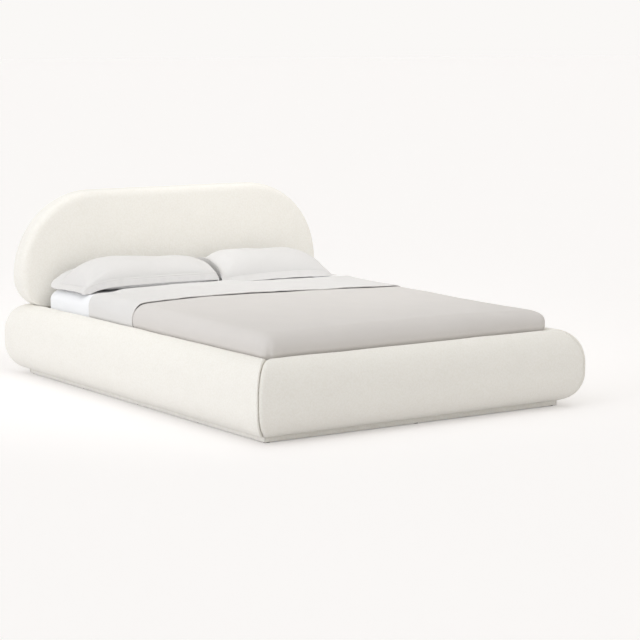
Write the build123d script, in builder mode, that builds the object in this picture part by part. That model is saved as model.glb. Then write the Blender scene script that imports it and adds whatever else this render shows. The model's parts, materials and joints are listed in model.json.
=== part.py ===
"""Upholstered storage bed: padded rails on a recessed plinth, a tall soft headboard,
and a mattress platform that lifts from the foot on two four-bar hinges with gas struts.

Millimetres. +Z is up, +Y points to the head, the origin is the centre of the footprint.
"""
from build123d import *
from math import hypot
import os

os.makedirs("parts", exist_ok=True)

# Mattress, and the gaps that it keeps inside the ring of rails
MATTRESS_W = 1524.0
MATTRESS_L = 2032.0
MATTRESS_T = 203.0
SIDE_GAP = 10.0
FOOT_GAP = 18.0
HEAD_GAP = 30.0

# Padded rails: depths are measured inwards from the outer face
RAIL_T = 130.0
RAIL_H = 360.0
RAIL_FOOT_INSET = 94.0
RAIL_CREST_INSET = 100.0
BELLY_LOW = 150.0
BELLY_HIGH = 225.0
RAIL_BOARD_T = 22.0
CREST_PAD = 42.0
LIP_DROP = 98.0
COVER_T = 3.0

# Plinth, glides and storage floor
GLIDE_H = 3.0
GLIDE_R = 15.0
PLINTH_TOP = 27.0
PLINTH_W = 46.0
PLINTH_SETBACK = 3.0
FLOOR_T = 9.0

# Headboard
HEADBOARD_T = 170.0
HEADBOARD_BACK_INSET = 40.0
HEADBOARD_HALF_W = 890.0
HEADBOARD_BOTTOM = 345.0
HEADBOARD_TOP = 928.0
HEADBOARD_TOP_R = 425.0
HEADBOARD_LOW_R = 150.0
HEADBOARD_FRONT_R = 45.0
HEADBOARD_BACK_R = 85.0
HEADBOARD_BOARD_T = 18.0
HEADBOARD_MARGIN = 60.0
POST_W = 80.0
POST_T = 24.0
POST_X = 480.0
POST_FOOT = 60.0
POST_TOP = 640.0
BULKHEAD_T = 18.0
SHELF_T = 22.0

# Platform of square tube with sprung slats
PLATFORM_TOP = 245.0
TUBE = 30.0
TUBE_WALL = 1.5
SLAT_COUNT = 13
SLAT_W = 70.0
SLAT_T = 8.0
SLAT_END = 60.0
CAP_L = 38.0
CAP_WALL = 2.0
LEDGE_W = 70.0
LEDGE_H = 30.0
LEDGE_START = 1180.0
BUMPER_H = 4.0
BUMPER_R = 10.0
STOP_W = 120.0
STOP_T = 4.0
STOP_RISE = 55.0
STRAP_W = 40.0
STRAP_T = 2.0
STRAP_H = 75.0

# Lift hinge pivots: distance towards the foot from the mattress's head end, then either
# the drop below the platform's top or the rise above the storage floor
CRANK_FIXED_H, CRANK_FIXED_DROP = 706.0, 30.0
CRANK_MOVING_H, CRANK_MOVING_DROP = 557.0, 48.5
FOLLOWER_FIXED_H, FOLLOWER_FIXED_RISE = 1102.0, 25.0
FOLLOWER_MOVING_H, FOLLOWER_MOVING_DROP = 674.0, 132.0
GAS_FIXED_H, GAS_FIXED_RISE = 671.0, 16.0
GAS_MOVING_H, GAS_MOVING_DROP = 532.0, 107.0
PLATE_T = 5.0
PLATE_R = 15.0
LINK_T = 5.0
LINK_R = 16.0
LAYER_GAP = 0.5
PIN_R = 6.0
BOSS_R = 10.0
STUD_R = 4.0
STUD_BOSS_R = 7.0
OPEN_LINK_SLACK = 2.4
OPEN_GAS_SLACK = 1.0

# Gas strut
GAS_R = 10.0
GAS_WALL = 1.5
GAS_CAP_T = 8.0
GAS_ROD_R = 4.0
GAS_PISTON_T = 12.0
GAS_EYE_R = 12.0
GAS_EYE_T = 12.0
GAS_NECK_R = 5.0
GAS_TUBE_SHARE = 0.72
GAS_PISTON_SHARE = 0.16

# Fasteners
BOLT_R = 4.0
BOLT_HEAD_R = 7.0
BOLT_HEAD_H = 5.0
BRACKET_LEG = 60.0
BRACKET_T = 4.0
BRACKET_LOW = 55.0
BRACKET_H = 100.0

# Bedding
MATTRESS_CORNER_R = 70.0
MATTRESS_EDGE_R = 38.0
SHEET_T = 1.2
SHEET_HEM = 20.0
DUVET_T = 7.0
DUVET_CROWN = 9.0
DUVET_HEM = 40.0
DUVET_L = 1150.0
BAND_L = 426.0
BAND_T = 8.0
BAND_CROWN = 12.0
BAND_FALL = 9.0
BAND_LIP_R = 6.0
PILLOW_W = 760.0
PILLOW_GAP = 24.0
PILLOW_BACK_GAP = 42.0
PILLOW_DEPTH = 325.0
PILLOW_H = 150.0
PILLOW_TIP_H = 12.0
PILLOW_BELLY_H = 0.6
PILLOW_BACK_TIP_H = 56.0
PILLOW_END_LIFT = 14.0
PILLOW_RIM_W = 24.0
PILLOW_RIM_T = 4.0
PILLOW_RIM_CORNER_R = 40.0

# Clearances
SOFT_GAP = 0.3
RUN_GAP = 0.05
FIT_GAP = 0.2
CUT = 5.0

# Ring of rails, worked out from the mattress
HALF_W = MATTRESS_W / 2 + SIDE_GAP + RAIL_T
INNER_L = FOOT_GAP + MATTRESS_L + HEAD_GAP
HALF_L = (RAIL_T + INNER_L + HEADBOARD_T + HEADBOARD_BACK_INSET) / 2
MATTRESS_FOOT_Y = RAIL_T + FOOT_GAP - HALF_L
MATTRESS_HEAD_Y = MATTRESS_FOOT_Y + MATTRESS_L
HEADBOARD_FRONT = MATTRESS_HEAD_Y + HEAD_GAP
HEADBOARD_BACK = HEADBOARD_FRONT + HEADBOARD_T
BOARD_W = HALF_W - RAIL_T + COVER_T
BOARD_L = HALF_L - RAIL_T + COVER_T
BOARD_TOP = RAIL_H - CREST_PAD
PLINTH_INSET = RAIL_FOOT_INSET + PLINTH_SETBACK
FLOOR_TOP = PLINTH_TOP + FLOOR_T
SHELF_TOP = HEADBOARD_BOTTOM - SHELF_T
BULKHEAD_TOP = SHELF_TOP - SHELF_T

# Layers of the lift hinge, inwards from the rail board
PLATE_X = BOARD_W - PLATE_T
CRANK_OUT = PLATE_X - LAYER_GAP
CRANK_IN = CRANK_OUT - LINK_T
GAS_X = CRANK_IN - LAYER_GAP - GAS_R
FOLLOWER_OUT = GAS_X - GAS_R - LAYER_GAP
FOLLOWER_IN = FOLLOWER_OUT - LINK_T
LIFT_OUT = FOLLOWER_IN - LAYER_GAP
FRAME_X = LIFT_OUT - LINK_T
FRAME_TOP = PLATFORM_TOP - SLAT_T - 2 * CAP_WALL
FRAME_LOW = FRAME_TOP - TUBE
LEDGE_TOP = FRAME_LOW - BUMPER_H
LEDGE_X = BOARD_W - LEDGE_W
MATTRESS_TOP = PLATFORM_TOP + MATTRESS_T
SIDES = (("left", -1), ("right", 1))
PAIR = (-1, 1)


def at_drop(distance, drop):
    """A pivot's (y, z) from its distance to the mattress's head end and its drop."""
    return (MATTRESS_HEAD_Y - distance, PLATFORM_TOP - drop)


def at_rise(distance, rise):
    """A pivot's (y, z) from its distance to the mattress's head end and its rise."""
    return (MATTRESS_HEAD_Y - distance, FLOOR_TOP + rise)


CRANK_FIXED = at_drop(CRANK_FIXED_H, CRANK_FIXED_DROP)
CRANK_MOVING = at_drop(CRANK_MOVING_H, CRANK_MOVING_DROP)
FOLLOWER_FIXED = at_rise(FOLLOWER_FIXED_H, FOLLOWER_FIXED_RISE)
FOLLOWER_MOVING = at_drop(FOLLOWER_MOVING_H, FOLLOWER_MOVING_DROP)
GAS_FIXED = at_rise(GAS_FIXED_H, GAS_FIXED_RISE)
GAS_MOVING = at_drop(GAS_MOVING_H, GAS_MOVING_DROP)


def finish(piece, name):
    """Label a finished piece and write its STEP file."""
    piece.part.label = name
    export_step(piece.part, f"parts/{name}.step")


def box_between(x, y, z, mode=Mode.ADD):
    """Add a box between the given (low, high) pairs, or cut it away."""
    with Locations(((x[0] + x[1]) / 2, (y[0] + y[1]) / 2, (z[0] + z[1]) / 2)):
        Box(x[1] - x[0], y[1] - y[0], z[1] - z[0], mode=mode)


def pin_from(start, direction, radius, length, mode=Mode.ADD):
    """Add a cylinder that starts at a point and runs along a direction, or cut it away."""
    with Locations(Plane(origin=start, z_dir=direction)):
        Cylinder(radius, length, align=(Align.CENTER, Align.CENTER, Align.MIN), mode=mode)


def span(side, near, far):
    """The (low, high) pair between two distances from the centre, on one side of it."""
    return (near, far) if side > 0 else (-far, -near)


def middle(first, second):
    """The point halfway between two pivots."""
    return ((first[0] + second[0]) / 2, (first[1] + second[1]) / 2)


# Bolts: each is a seat under its head, a direction and a grip length


def corner_bolts():
    """Two bolts through each leg of the four corner brackets."""
    away = BRACKET_LEG * 2 / 3
    grip = BRACKET_T + RAIL_BOARD_T
    for sx in PAIR:
        for sy in PAIR:
            for height in (BRACKET_LOW + BRACKET_H / 4, BRACKET_LOW + BRACKET_H * 3 / 4):
                yield (sx * (BOARD_W - BRACKET_T), sy * (BOARD_L - away), height), (sx, 0, 0), grip
                yield (sx * (BOARD_W - away), sy * (BOARD_L - BRACKET_T), height), (0, sy, 0), grip


def post_bolts():
    """Two bolts from each headboard post into the head board, and two into the panel."""
    seat = BOARD_L - POST_T
    low = (POST_FOOT + BULKHEAD_TOP) / 2
    first = HEADBOARD_BOTTOM + HEADBOARD_MARGIN + POST_W / 2
    for sx in PAIR:
        for height in (low - POST_W / 2, low + POST_W / 2):
            yield (sx * POST_X, seat, height), (0, 1, 0), POST_T + RAIL_BOARD_T
        for height in (first, POST_TOP - POST_W / 2):
            yield (sx * POST_X, seat, height), (0, 1, 0), POST_T + HEADBOARD_BOARD_T


def hinge_bolts():
    """Three bolts through each hinge plate into the side board."""
    fixed = (CRANK_FIXED, FOLLOWER_FIXED, GAS_FIXED)
    for sx in PAIR:
        for first, second in zip(fixed, fixed[1:] + fixed[:1]):
            yield (sx * PLATE_X, *middle(first, second)), (sx, 0, 0), PLATE_T + RAIL_BOARD_T


def all_bolts():
    """Every bolt of the frame."""
    yield from corner_bolts()
    yield from post_bolts()
    yield from hinge_bolts()


def cut_bolt_holes(bolts):
    """Cut clearance holes for the given bolts through the current piece."""
    for seat, direction, grip in bolts:
        pin_from(seat, direction, BOLT_R + FIT_GAP, grip, Mode.SUBTRACT)


def make_bolts():
    """All bolts as one group of separate solids."""
    with BuildPart() as bolts:
        for seat, direction, grip in all_bolts():
            pin_from(seat, direction, BOLT_R, grip)
            pin_from(seat, tuple(-part for part in direction), BOLT_HEAD_R, BOLT_HEAD_H)
    finish(bolts, "frame_bolts")


# Rails


def headboard_outline(inset):
    """The headboard's outline as (across, up), drawn a given inset inside its edge."""
    half = HEADBOARD_HALF_W - inset
    top = HEADBOARD_TOP - inset
    low = HEADBOARD_BOTTOM + inset
    top_r = HEADBOARD_TOP_R - inset
    low_r = HEADBOARD_LOW_R - inset
    with BuildSketch(Plane.XY) as outline:
        with BuildLine():
            Line((0, low), (half - low_r, low))
            CenterArc((half - low_r, low + low_r), low_r, -90, 90)
            Line((half, low + low_r), (half, top - top_r))
            CenterArc((half - top_r, top - top_r), top_r, 0, 90)
            Line((half - top_r, top), (0, top))
            mirror(about=Plane.YZ)
        make_face()
    return outline.sketch


def rail_outline(half, inset):
    """A rail's section as (across, up), drawn a given inset inside its surface."""
    low_z = PLINTH_TOP + inset
    foot_x = half - RAIL_FOOT_INSET
    crest_x = half - RAIL_CREST_INSET
    lip_r = RAIL_T - RAIL_CREST_INSET
    inner_x = half - RAIL_T + inset
    crown = RAIL_H - inset - BELLY_HIGH
    belly = BELLY_LOW - low_z
    with BuildSketch(Plane.XY) as section:
        with BuildLine():
            EllipticalCenterArc((foot_x, BELLY_LOW), RAIL_FOOT_INSET - inset, belly, 270, arc_size=90)
            Line((half - inset, BELLY_LOW), (half - inset, BELLY_HIGH))
            EllipticalCenterArc((crest_x, BELLY_HIGH), RAIL_CREST_INSET - inset, crown, 0, arc_size=90)
            CenterArc((crest_x, RAIL_H - lip_r), lip_r - inset, 90, 90)
            Polyline((inner_x, RAIL_H - lip_r), (inner_x, low_z), (foot_x, low_z))
        make_face()
    return section.sketch


def mitred_plan(across, along):
    """The plan of a rail on the positive side, cut at 45 degrees at both ends."""
    out = across + CUT
    inner = across - RAIL_T - CUT
    end = along + CUT - SOFT_GAP / 2
    inner_end = along - RAIL_T - CUT - SOFT_GAP / 2
    return [(out, -end), (out, end), (inner, inner_end), (inner, -inner_end)]


def cut_boards():
    """Cut the four boards out of a soft rail piece."""
    outer = BOARD_L + RAIL_BOARD_T
    for side in PAIR:
        thick = span(side, BOARD_W, BOARD_W + RAIL_BOARD_T)
        box_between(thick, (-outer, outer), (0, BOARD_TOP), Mode.SUBTRACT)
        box_between((-BOARD_W, BOARD_W), span(side, BOARD_L, outer), (0, BOARD_TOP), Mode.SUBTRACT)


def soft_rail(half, along, lengthwise, inset, hollow, open_low, seat):
    """A mitred length of rail padding on the positive side: solid foam, or a hollow cover.

    The cover's inner side is open over the width and height given by open_low.
    """
    outline = rail_outline(half, inset)
    core = rail_outline(half, COVER_T)
    plan = mitred_plan(half, along)
    pressed = headboard_outline(-SOFT_GAP)
    with BuildPart() as rail:
        with BuildSketch(Plane.XZ if lengthwise else Plane.YZ):
            add(outline)
            if hollow:
                add(core, mode=Mode.SUBTRACT)
                with Locations((half - RAIL_T, 0)):
                    Rectangle(2 * open_low[0], 2 * open_low[1], mode=Mode.SUBTRACT)
        extrude(amount=along + CUT, both=True)
        with BuildSketch(Plane.XY):
            Polygon(*(plan if lengthwise else [(b, a) for a, b in plan]), align=None)
        extrude(amount=RAIL_H, mode=Mode.INTERSECT)
        cut_boards()
        if seat:
            with BuildSketch(Plane.XZ.offset(-HEADBOARD_BACK - SOFT_GAP)):
                add(pressed)
            extrude(amount=HEADBOARD_T + 2 * SOFT_GAP, mode=Mode.SUBTRACT)
            head_zone = (HEADBOARD_FRONT - SOFT_GAP, BOARD_L)
            box_between((-BOARD_W, BOARD_W), head_zone, (0, SHELF_TOP + SOFT_GAP), Mode.SUBTRACT)
    return rail.part


def make_rail_padding(name, half, along, lengthwise, flip, open_low, seat):
    """Foam and cover of one rail, turned over to the negative side if asked."""
    foam_inset = COVER_T + SOFT_GAP
    foam = soft_rail(half, along, lengthwise, foam_inset, False, open_low, seat)
    cover = soft_rail(half, along, lengthwise, 0, True, open_low, seat)
    for kind, body in (("foam", foam), ("cover", cover)):
        with BuildPart() as piece:
            add(body)
            if flip:
                mirror(about=Plane.YZ if lengthwise else Plane.XZ, mode=Mode.REPLACE)
        finish(piece, f"rail_{name}_{kind}")


def make_rail_boards():
    """The four boards inside the padding, the side ones running past the end ones."""
    outer = BOARD_L + RAIL_BOARD_T
    for name, side in SIDES:
        thick = span(side, BOARD_W, BOARD_W + RAIL_BOARD_T)
        with BuildPart() as board:
            box_between(thick, (-outer, outer), (PLINTH_TOP, BOARD_TOP))
            cut_bolt_holes(all_bolts())
        finish(board, f"rail_{name}_board")
    for name, side in (("foot", -1), ("head", 1)):
        with BuildPart() as board:
            box_between((-BOARD_W, BOARD_W), span(side, BOARD_L, outer), (PLINTH_TOP, BOARD_TOP))
            cut_bolt_holes(all_bolts())
        finish(board, f"rail_{name}_board")


def make_rails():
    """Boards, foam and covers of the four rails."""
    make_rail_boards()
    below_lip = (COVER_T + FIT_GAP, RAIL_H - LIP_DROP)
    below_crest = (RAIL_T - RAIL_CREST_INSET, RAIL_H)
    make_rail_padding("right", HALF_W, HALF_L, True, False, below_lip, True)
    make_rail_padding("left", HALF_W, HALF_L, True, True, below_lip, True)
    make_rail_padding("foot", HALF_L, HALF_W, False, True, below_lip, False)
    make_rail_padding("head", HALF_L, HALF_W, False, False, below_crest, True)


def make_corner_brackets():
    """Four steel angles inside the corners, as one group."""
    high = BRACKET_LOW + BRACKET_H
    with BuildPart() as brackets:
        for sx in PAIR:
            for sy in PAIR:
                leg_x = span(sx, BOARD_W - BRACKET_LEG, BOARD_W)
                leg_y = span(sy, BOARD_L - BRACKET_LEG, BOARD_L)
                box_between(leg_x, span(sy, BOARD_L - BRACKET_T, BOARD_L), (BRACKET_LOW, high))
                box_between(span(sx, BOARD_W - BRACKET_T, BOARD_W), leg_y, (BRACKET_LOW, high))
        cut_bolt_holes(corner_bolts())
    finish(brackets, "corner_brackets")


# Plinth and storage floor


def make_plinth():
    """Recessed plinth of wrapped timbers, its glides and the keel under the floor."""
    out_x, out_y = HALF_W - PLINTH_INSET, HALF_L - PLINTH_INSET
    in_x, in_y = out_x - PLINTH_W, out_y - PLINTH_W
    height = (GLIDE_H, PLINTH_TOP)
    for name, side in SIDES:
        with BuildPart() as timber:
            box_between(span(side, in_x, out_x), (-out_y, out_y), height)
        finish(timber, f"plinth_{name}")
    for name, side in (("foot", -1), ("head", 1)):
        with BuildPart() as timber:
            box_between((-in_x, in_x), span(side, in_y, out_y), height)
        finish(timber, f"plinth_{name}")
    with BuildPart() as keel:
        box_between((-PLINTH_W / 2, PLINTH_W / 2), (-in_y, in_y), height)
    finish(keel, "floor_keel")

    mid_x, mid_y = (in_x + out_x) / 2, (in_y + out_y) / 2
    rows = [(x, y) for x in (-mid_x, mid_x) for y in (-mid_y, -mid_y / 2, 0, mid_y / 2, mid_y)]
    rows += [(0, y) for y in (-mid_y, 0, mid_y)]
    with BuildPart() as glides:
        with Locations(*[(x, y, 0) for x, y in rows]):
            Cylinder(GLIDE_R, GLIDE_H, align=(Align.CENTER, Align.CENTER, Align.MIN))
    finish(glides, "floor_glides")


def make_storage_floor():
    """Two floor panels on the plinth's ledge and the keel, and the board at the head end."""
    for name, side in SIDES:
        with BuildPart() as panel:
            box_between(span(side, FIT_GAP / 2, BOARD_W), (-BOARD_L, BOARD_L), (PLINTH_TOP, FLOOR_TOP))
        finish(panel, f"storage_floor_{name}")
    front = HEADBOARD_FRONT
    with BuildPart() as bulkhead:
        box_between((-BOARD_W, BOARD_W), (front, front + BULKHEAD_T), (FLOOR_TOP, BULKHEAD_TOP))
    finish(bulkhead, "head_bulkhead")
    with BuildPart() as shelf:
        box_between((-BOARD_W, BOARD_W), (front, BOARD_L), (BULKHEAD_TOP, SHELF_TOP))
        cut_posts(FIT_GAP)
    finish(shelf, "headboard_shelf")


# Headboard


def cut_posts(clearance):
    """Cut the two headboard posts, grown by a clearance, out of the current piece."""
    reach = POST_W / 2 + clearance
    for side in PAIR:
        x = (side * POST_X - reach, side * POST_X + reach)
        y = (BOARD_L - POST_T - clearance, BOARD_L)
        box_between(x, y, (POST_FOOT, POST_TOP + clearance), Mode.SUBTRACT)


def headboard_pad(inset):
    """The headboard's soft body with rounded edges, a given inset inside its surface."""
    outline = headboard_outline(inset)
    with BuildPart() as pad:
        with BuildSketch(Plane.XZ.offset(inset - HEADBOARD_BACK)):
            add(outline)
        extrude(amount=HEADBOARD_T - 2 * inset)
        fillet(edges().group_by(Axis.Y)[0], radius=HEADBOARD_FRONT_R - inset)
        fillet(edges().group_by(Axis.Y)[-1], radius=HEADBOARD_BACK_R - inset)
    return pad.part


def make_headboard():
    """Cover, foam, inner panel and the two posts that carry it."""
    outside = headboard_pad(0)
    inside = headboard_pad(COVER_T)
    core = headboard_pad(COVER_T + SOFT_GAP)
    panel_outline = headboard_outline(HEADBOARD_MARGIN)
    with BuildPart() as panel:
        with BuildSketch(Plane.XZ.offset(-BOARD_L)):
            add(panel_outline)
        extrude(amount=-HEADBOARD_BOARD_T)
        cut_bolt_holes(post_bolts())
    finish(panel, "headboard_panel")
    with BuildPart() as cover:
        add(outside)
        add(inside, mode=Mode.SUBTRACT)
        cut_posts(SOFT_GAP)
    finish(cover, "headboard_cover")
    with BuildPart() as foam:
        add(core)
        with BuildSketch(Plane.XZ.offset(-BOARD_L)):
            add(panel_outline)
        extrude(amount=-HEADBOARD_BOARD_T, mode=Mode.SUBTRACT)
        cut_posts(SOFT_GAP)
        for seat, direction, grip in post_bolts():
            head = tuple(-part for part in direction)
            pin_from(seat, head, BOLT_HEAD_R + SOFT_GAP, BOLT_HEAD_H + SOFT_GAP, Mode.SUBTRACT)
    finish(foam, "headboard_foam")
    for name, side in SIDES:
        with BuildPart() as post:
            x = (side * POST_X - POST_W / 2, side * POST_X + POST_W / 2)
            box_between(x, (BOARD_L - POST_T, BOARD_L), (POST_FOOT, POST_TOP))
            cut_bolt_holes(post_bolts())
        finish(post, f"headboard_post_{name}")


# Platform


def tube_between(name, x, y, along):
    """A square steel tube of the platform's frame, open at both ends."""
    wall = TUBE_WALL
    inner_x = x if along == "x" else (x[0] + wall, x[1] - wall)
    inner_y = y if along == "y" else (y[0] + wall, y[1] - wall)
    with BuildPart() as tube:
        box_between(x, y, (FRAME_LOW, FRAME_TOP))
        box_between(inner_x, inner_y, (FRAME_LOW + wall, FRAME_TOP - wall), Mode.SUBTRACT)
        if name == "head":
            for side in PAIR:
                stop_x = (side * FRAME_X / 2 - STOP_W / 2, side * FRAME_X / 2 + STOP_W / 2)
                stop_y = (MATTRESS_HEAD_Y, MATTRESS_HEAD_Y + STOP_T)
                box_between(stop_x, stop_y, (FRAME_LOW, PLATFORM_TOP + STOP_RISE))
    finish(tube, f"platform_{name}_tube")


def make_platform_frame():
    """Side, head, foot and centre tubes; the head one has two mattress stops."""
    inner = FRAME_X - TUBE
    foot, head = MATTRESS_FOOT_Y, MATTRESS_HEAD_Y
    for name, side in SIDES:
        tube_between(name, span(side, inner, FRAME_X), (foot, head), "y")
    tube_between("foot", (-inner, inner), (foot, foot + TUBE), "x")
    tube_between("head", (-inner, inner), (head - TUBE, head), "x")
    tube_between("centre", (-TUBE / 2, TUBE / 2), (foot + TUBE, head - TUBE), "y")


def make_slats():
    """Sprung slats, held in rubber caps on the side and centre tubes."""
    pitch = (MATTRESS_L - 2 * SLAT_END) / (SLAT_COUNT - 1)
    centre = (MATTRESS_FOOT_Y + MATTRESS_HEAD_Y) / 2
    slat_z = FRAME_TOP + CAP_WALL + SLAT_T / 2
    slat_l = 2 * (FRAME_X - CAP_WALL)
    side_x = FRAME_X - CAP_L / 2
    with BuildPart() as slats:
        with Locations((0, centre, slat_z)):
            with GridLocations(slat_l, pitch, 1, SLAT_COUNT):
                Box(slat_l, SLAT_W, SLAT_T)
    finish(slats, "platform_slats")
    with BuildPart() as caps:
        with Locations((0, centre, slat_z)):
            with GridLocations(side_x, pitch, 3, SLAT_COUNT):
                Box(CAP_L, SLAT_W + 2 * CAP_WALL, SLAT_T + 2 * CAP_WALL)
            with GridLocations(slat_l, pitch, 1, SLAT_COUNT):
                Box(slat_l, SLAT_W, SLAT_T, mode=Mode.SUBTRACT)
    finish(caps, "slat_caps")


def make_lift_strap():
    """Webbing loop on the foot tube, in the gap in front of the mattress."""
    low = FRAME_LOW + TUBE_WALL
    depth = 3 * STRAP_T
    with BuildPart() as strap:
        with BuildSketch(Plane.YZ.offset(-STRAP_W / 2)):
            with Locations((MATTRESS_FOOT_Y - depth / 2, low + STRAP_H / 2)):
                Rectangle(depth, STRAP_H)
                Rectangle(depth - 2 * STRAP_T, STRAP_H - 2 * STRAP_T, mode=Mode.SUBTRACT)
        extrude(amount=STRAP_W)
    finish(strap, "lift_strap")


def make_ledges():
    """Ledges on the rail boards with rubber bumpers, on which the closed platform rests."""
    height = (LEDGE_TOP - LEDGE_H, LEDGE_TOP)
    start = MATTRESS_HEAD_Y - LEDGE_START
    for name, side in SIDES:
        with BuildPart() as ledge:
            box_between(span(side, LEDGE_X, BOARD_W), (-BOARD_L, start), height)
        finish(ledge, f"ledge_{name}")
    with BuildPart() as ledge:
        box_between((-LEDGE_X, LEDGE_X), (-BOARD_L, LEDGE_W - BOARD_L), height)
    finish(ledge, "ledge_foot")
    side_x = (LEDGE_X + FRAME_X) / 2
    run = start - MATTRESS_FOOT_Y
    foot_y = MATTRESS_FOOT_Y + TUBE / 2
    shares = (1 / 5, 1 / 2, 4 / 5)
    seats = [(s * side_x, MATTRESS_FOOT_Y + run * share) for s in PAIR for share in shares]
    seats += [(s * LEDGE_X / 2, foot_y) for s in PAIR]
    with BuildPart() as bumpers:
        with Locations(*[(x, y, LEDGE_TOP) for x, y in seats]):
            Cylinder(BUMPER_R, BUMPER_H, align=(Align.CENTER, Align.CENTER, Align.MIN))
    finish(bumpers, "ledge_bumpers")


# Lift hinges


def make_hinge_plate(name, side):
    """Fixed plate with the crank's pin, the follower's long pin and the strut's stud."""
    inward = (-side, 0, 0)
    low = min(side * PLATE_X, side * BOARD_W)
    gas_near = GAS_X + GAS_EYE_T / 2 + LAYER_GAP
    with BuildPart() as plate:
        with BuildSketch(Plane.YZ.offset(low)):
            with Locations(CRANK_FIXED, FOLLOWER_FIXED, GAS_FIXED):
                Circle(PLATE_R)
            make_hull()
        extrude(amount=PLATE_T)
        cut_bolt_holes(hinge_bolts())
        pin_from((side * PLATE_X, *CRANK_FIXED), inward, PIN_R, PLATE_X - CRANK_IN)
        pin_from((side * PLATE_X, *FOLLOWER_FIXED), inward, BOSS_R, PLATE_X - FOLLOWER_OUT - LAYER_GAP)
        pin_from((side * PLATE_X, *FOLLOWER_FIXED), inward, PIN_R, PLATE_X - FOLLOWER_IN)
        pin_from((side * PLATE_X, *GAS_FIXED), inward, STUD_BOSS_R, PLATE_X - gas_near)
        pin_from((side * PLATE_X, *GAS_FIXED), inward, STUD_R, PLATE_X - GAS_X + GAS_EYE_T / 2)
    finish(plate, f"hinge_plate_{name}")


def make_link(name, side, inner_x, ends, hole_radii):
    """A flat link with a round eye at each end."""
    low = min(side * inner_x, side * (inner_x + LINK_T))
    with BuildPart() as link:
        with BuildSketch(Plane.YZ.offset(low)):
            with Locations(*ends):
                Circle(LINK_R)
            make_hull()
            for end, radius in zip(ends, hole_radii):
                with Locations(end):
                    Circle(radius, mode=Mode.SUBTRACT)
        extrude(amount=LINK_T)
    finish(link, name)


def make_lift_bar(name, side):
    """Plate welded to the side tube, with the pins that the links and the strut hold."""
    outward = (side, 0, 0)
    low = min(side * FRAME_X, side * LIFT_OUT)
    head_end = GAS_MOVING[0] + LINK_R
    foot_end = FOLLOWER_MOVING[0] - LINK_R
    gas_near = GAS_X - GAS_EYE_T / 2 - LAYER_GAP
    with BuildPart() as bar:
        with BuildSketch(Plane.YZ.offset(low)):
            with Locations(CRANK_MOVING, FOLLOWER_MOVING, GAS_MOVING):
                Circle(LINK_R)
            with Locations(((head_end + foot_end) / 2, FRAME_LOW + TUBE / 2)):
                Rectangle(head_end - foot_end, TUBE)
            make_hull()
        extrude(amount=LINK_T)
        pin_from((side * LIFT_OUT, *CRANK_MOVING), outward, BOSS_R, CRANK_IN - LAYER_GAP - LIFT_OUT)
        pin_from((side * LIFT_OUT, *CRANK_MOVING), outward, PIN_R, CRANK_OUT - LIFT_OUT)
        pin_from((side * LIFT_OUT, *FOLLOWER_MOVING), outward, PIN_R, FOLLOWER_OUT - LIFT_OUT)
        pin_from((side * LIFT_OUT, *GAS_MOVING), outward, STUD_BOSS_R, gas_near - LIFT_OUT)
        pin_from((side * LIFT_OUT, *GAS_MOVING), outward, STUD_R, GAS_X + GAS_EYE_T / 2 - LIFT_OUT)
    finish(bar, f"lift_bar_{name}")


def make_gas_strut(name, side):
    """Gas strut: a hollow cylinder on the fixed stud and a rod with its piston inside."""
    run_y, run_z = GAS_MOVING[0] - GAS_FIXED[0], GAS_MOVING[1] - GAS_FIXED[1]
    length = hypot(run_y, run_z)
    along = (0, run_y / length, run_z / length)

    def place(distance):
        return (side * GAS_X, GAS_FIXED[0] + along[1] * distance, GAS_FIXED[1] + along[2] * distance)

    def eye_start(distance):
        centre = place(distance)
        return (centre[0] - GAS_EYE_T / 2, centre[1], centre[2])

    tube_end = length * GAS_TUBE_SHARE
    bore_start = GAS_EYE_R + GAS_CAP_T
    piston_start = length * GAS_PISTON_SHARE
    bore_l = tube_end - GAS_CAP_T - bore_start
    with BuildPart() as cylinder:
        pin_from(place(GAS_EYE_R), along, GAS_R, tube_end - GAS_EYE_R)
        pin_from(place(bore_start), along, GAS_R - GAS_WALL, bore_l, Mode.SUBTRACT)
        pin_from(place(bore_start), along, GAS_ROD_R + RUN_GAP, tube_end, Mode.SUBTRACT)
        pin_from(place(0), along, GAS_NECK_R, GAS_EYE_R + GAS_CAP_T / 2)
        pin_from(eye_start(0), (1, 0, 0), GAS_EYE_R, GAS_EYE_T)
        pin_from(eye_start(0), (1, 0, 0), STUD_R + RUN_GAP, GAS_EYE_T, Mode.SUBTRACT)
    finish(cylinder, f"gas_strut_{name}_cylinder")
    with BuildPart() as rod:
        pin_from(place(piston_start), along, GAS_ROD_R, length - piston_start)
        pin_from(place(piston_start), along, GAS_R - GAS_WALL - FIT_GAP, GAS_PISTON_T)
        pin_from(eye_start(length), (1, 0, 0), GAS_EYE_R, GAS_EYE_T)
        pin_from(eye_start(length), (1, 0, 0), STUD_R + OPEN_GAS_SLACK, GAS_EYE_T, Mode.SUBTRACT)
    finish(rod, f"gas_strut_{name}_rod")


def make_lift_hinges():
    """Plate, links, lift bar and gas strut of the hinge on each side."""
    running = PIN_R + RUN_GAP
    for name, side in SIDES:
        make_hinge_plate(name, side)
        make_link(f"crank_{name}", side, CRANK_IN, (CRANK_FIXED, CRANK_MOVING), (running, running))
        ends = (FOLLOWER_FIXED, FOLLOWER_MOVING)
        make_link(f"follower_{name}", side, FOLLOWER_IN, ends, (running, PIN_R + OPEN_LINK_SLACK))
        make_lift_bar(name, side)
        make_gas_strut(name, side)


# Bedding


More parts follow.
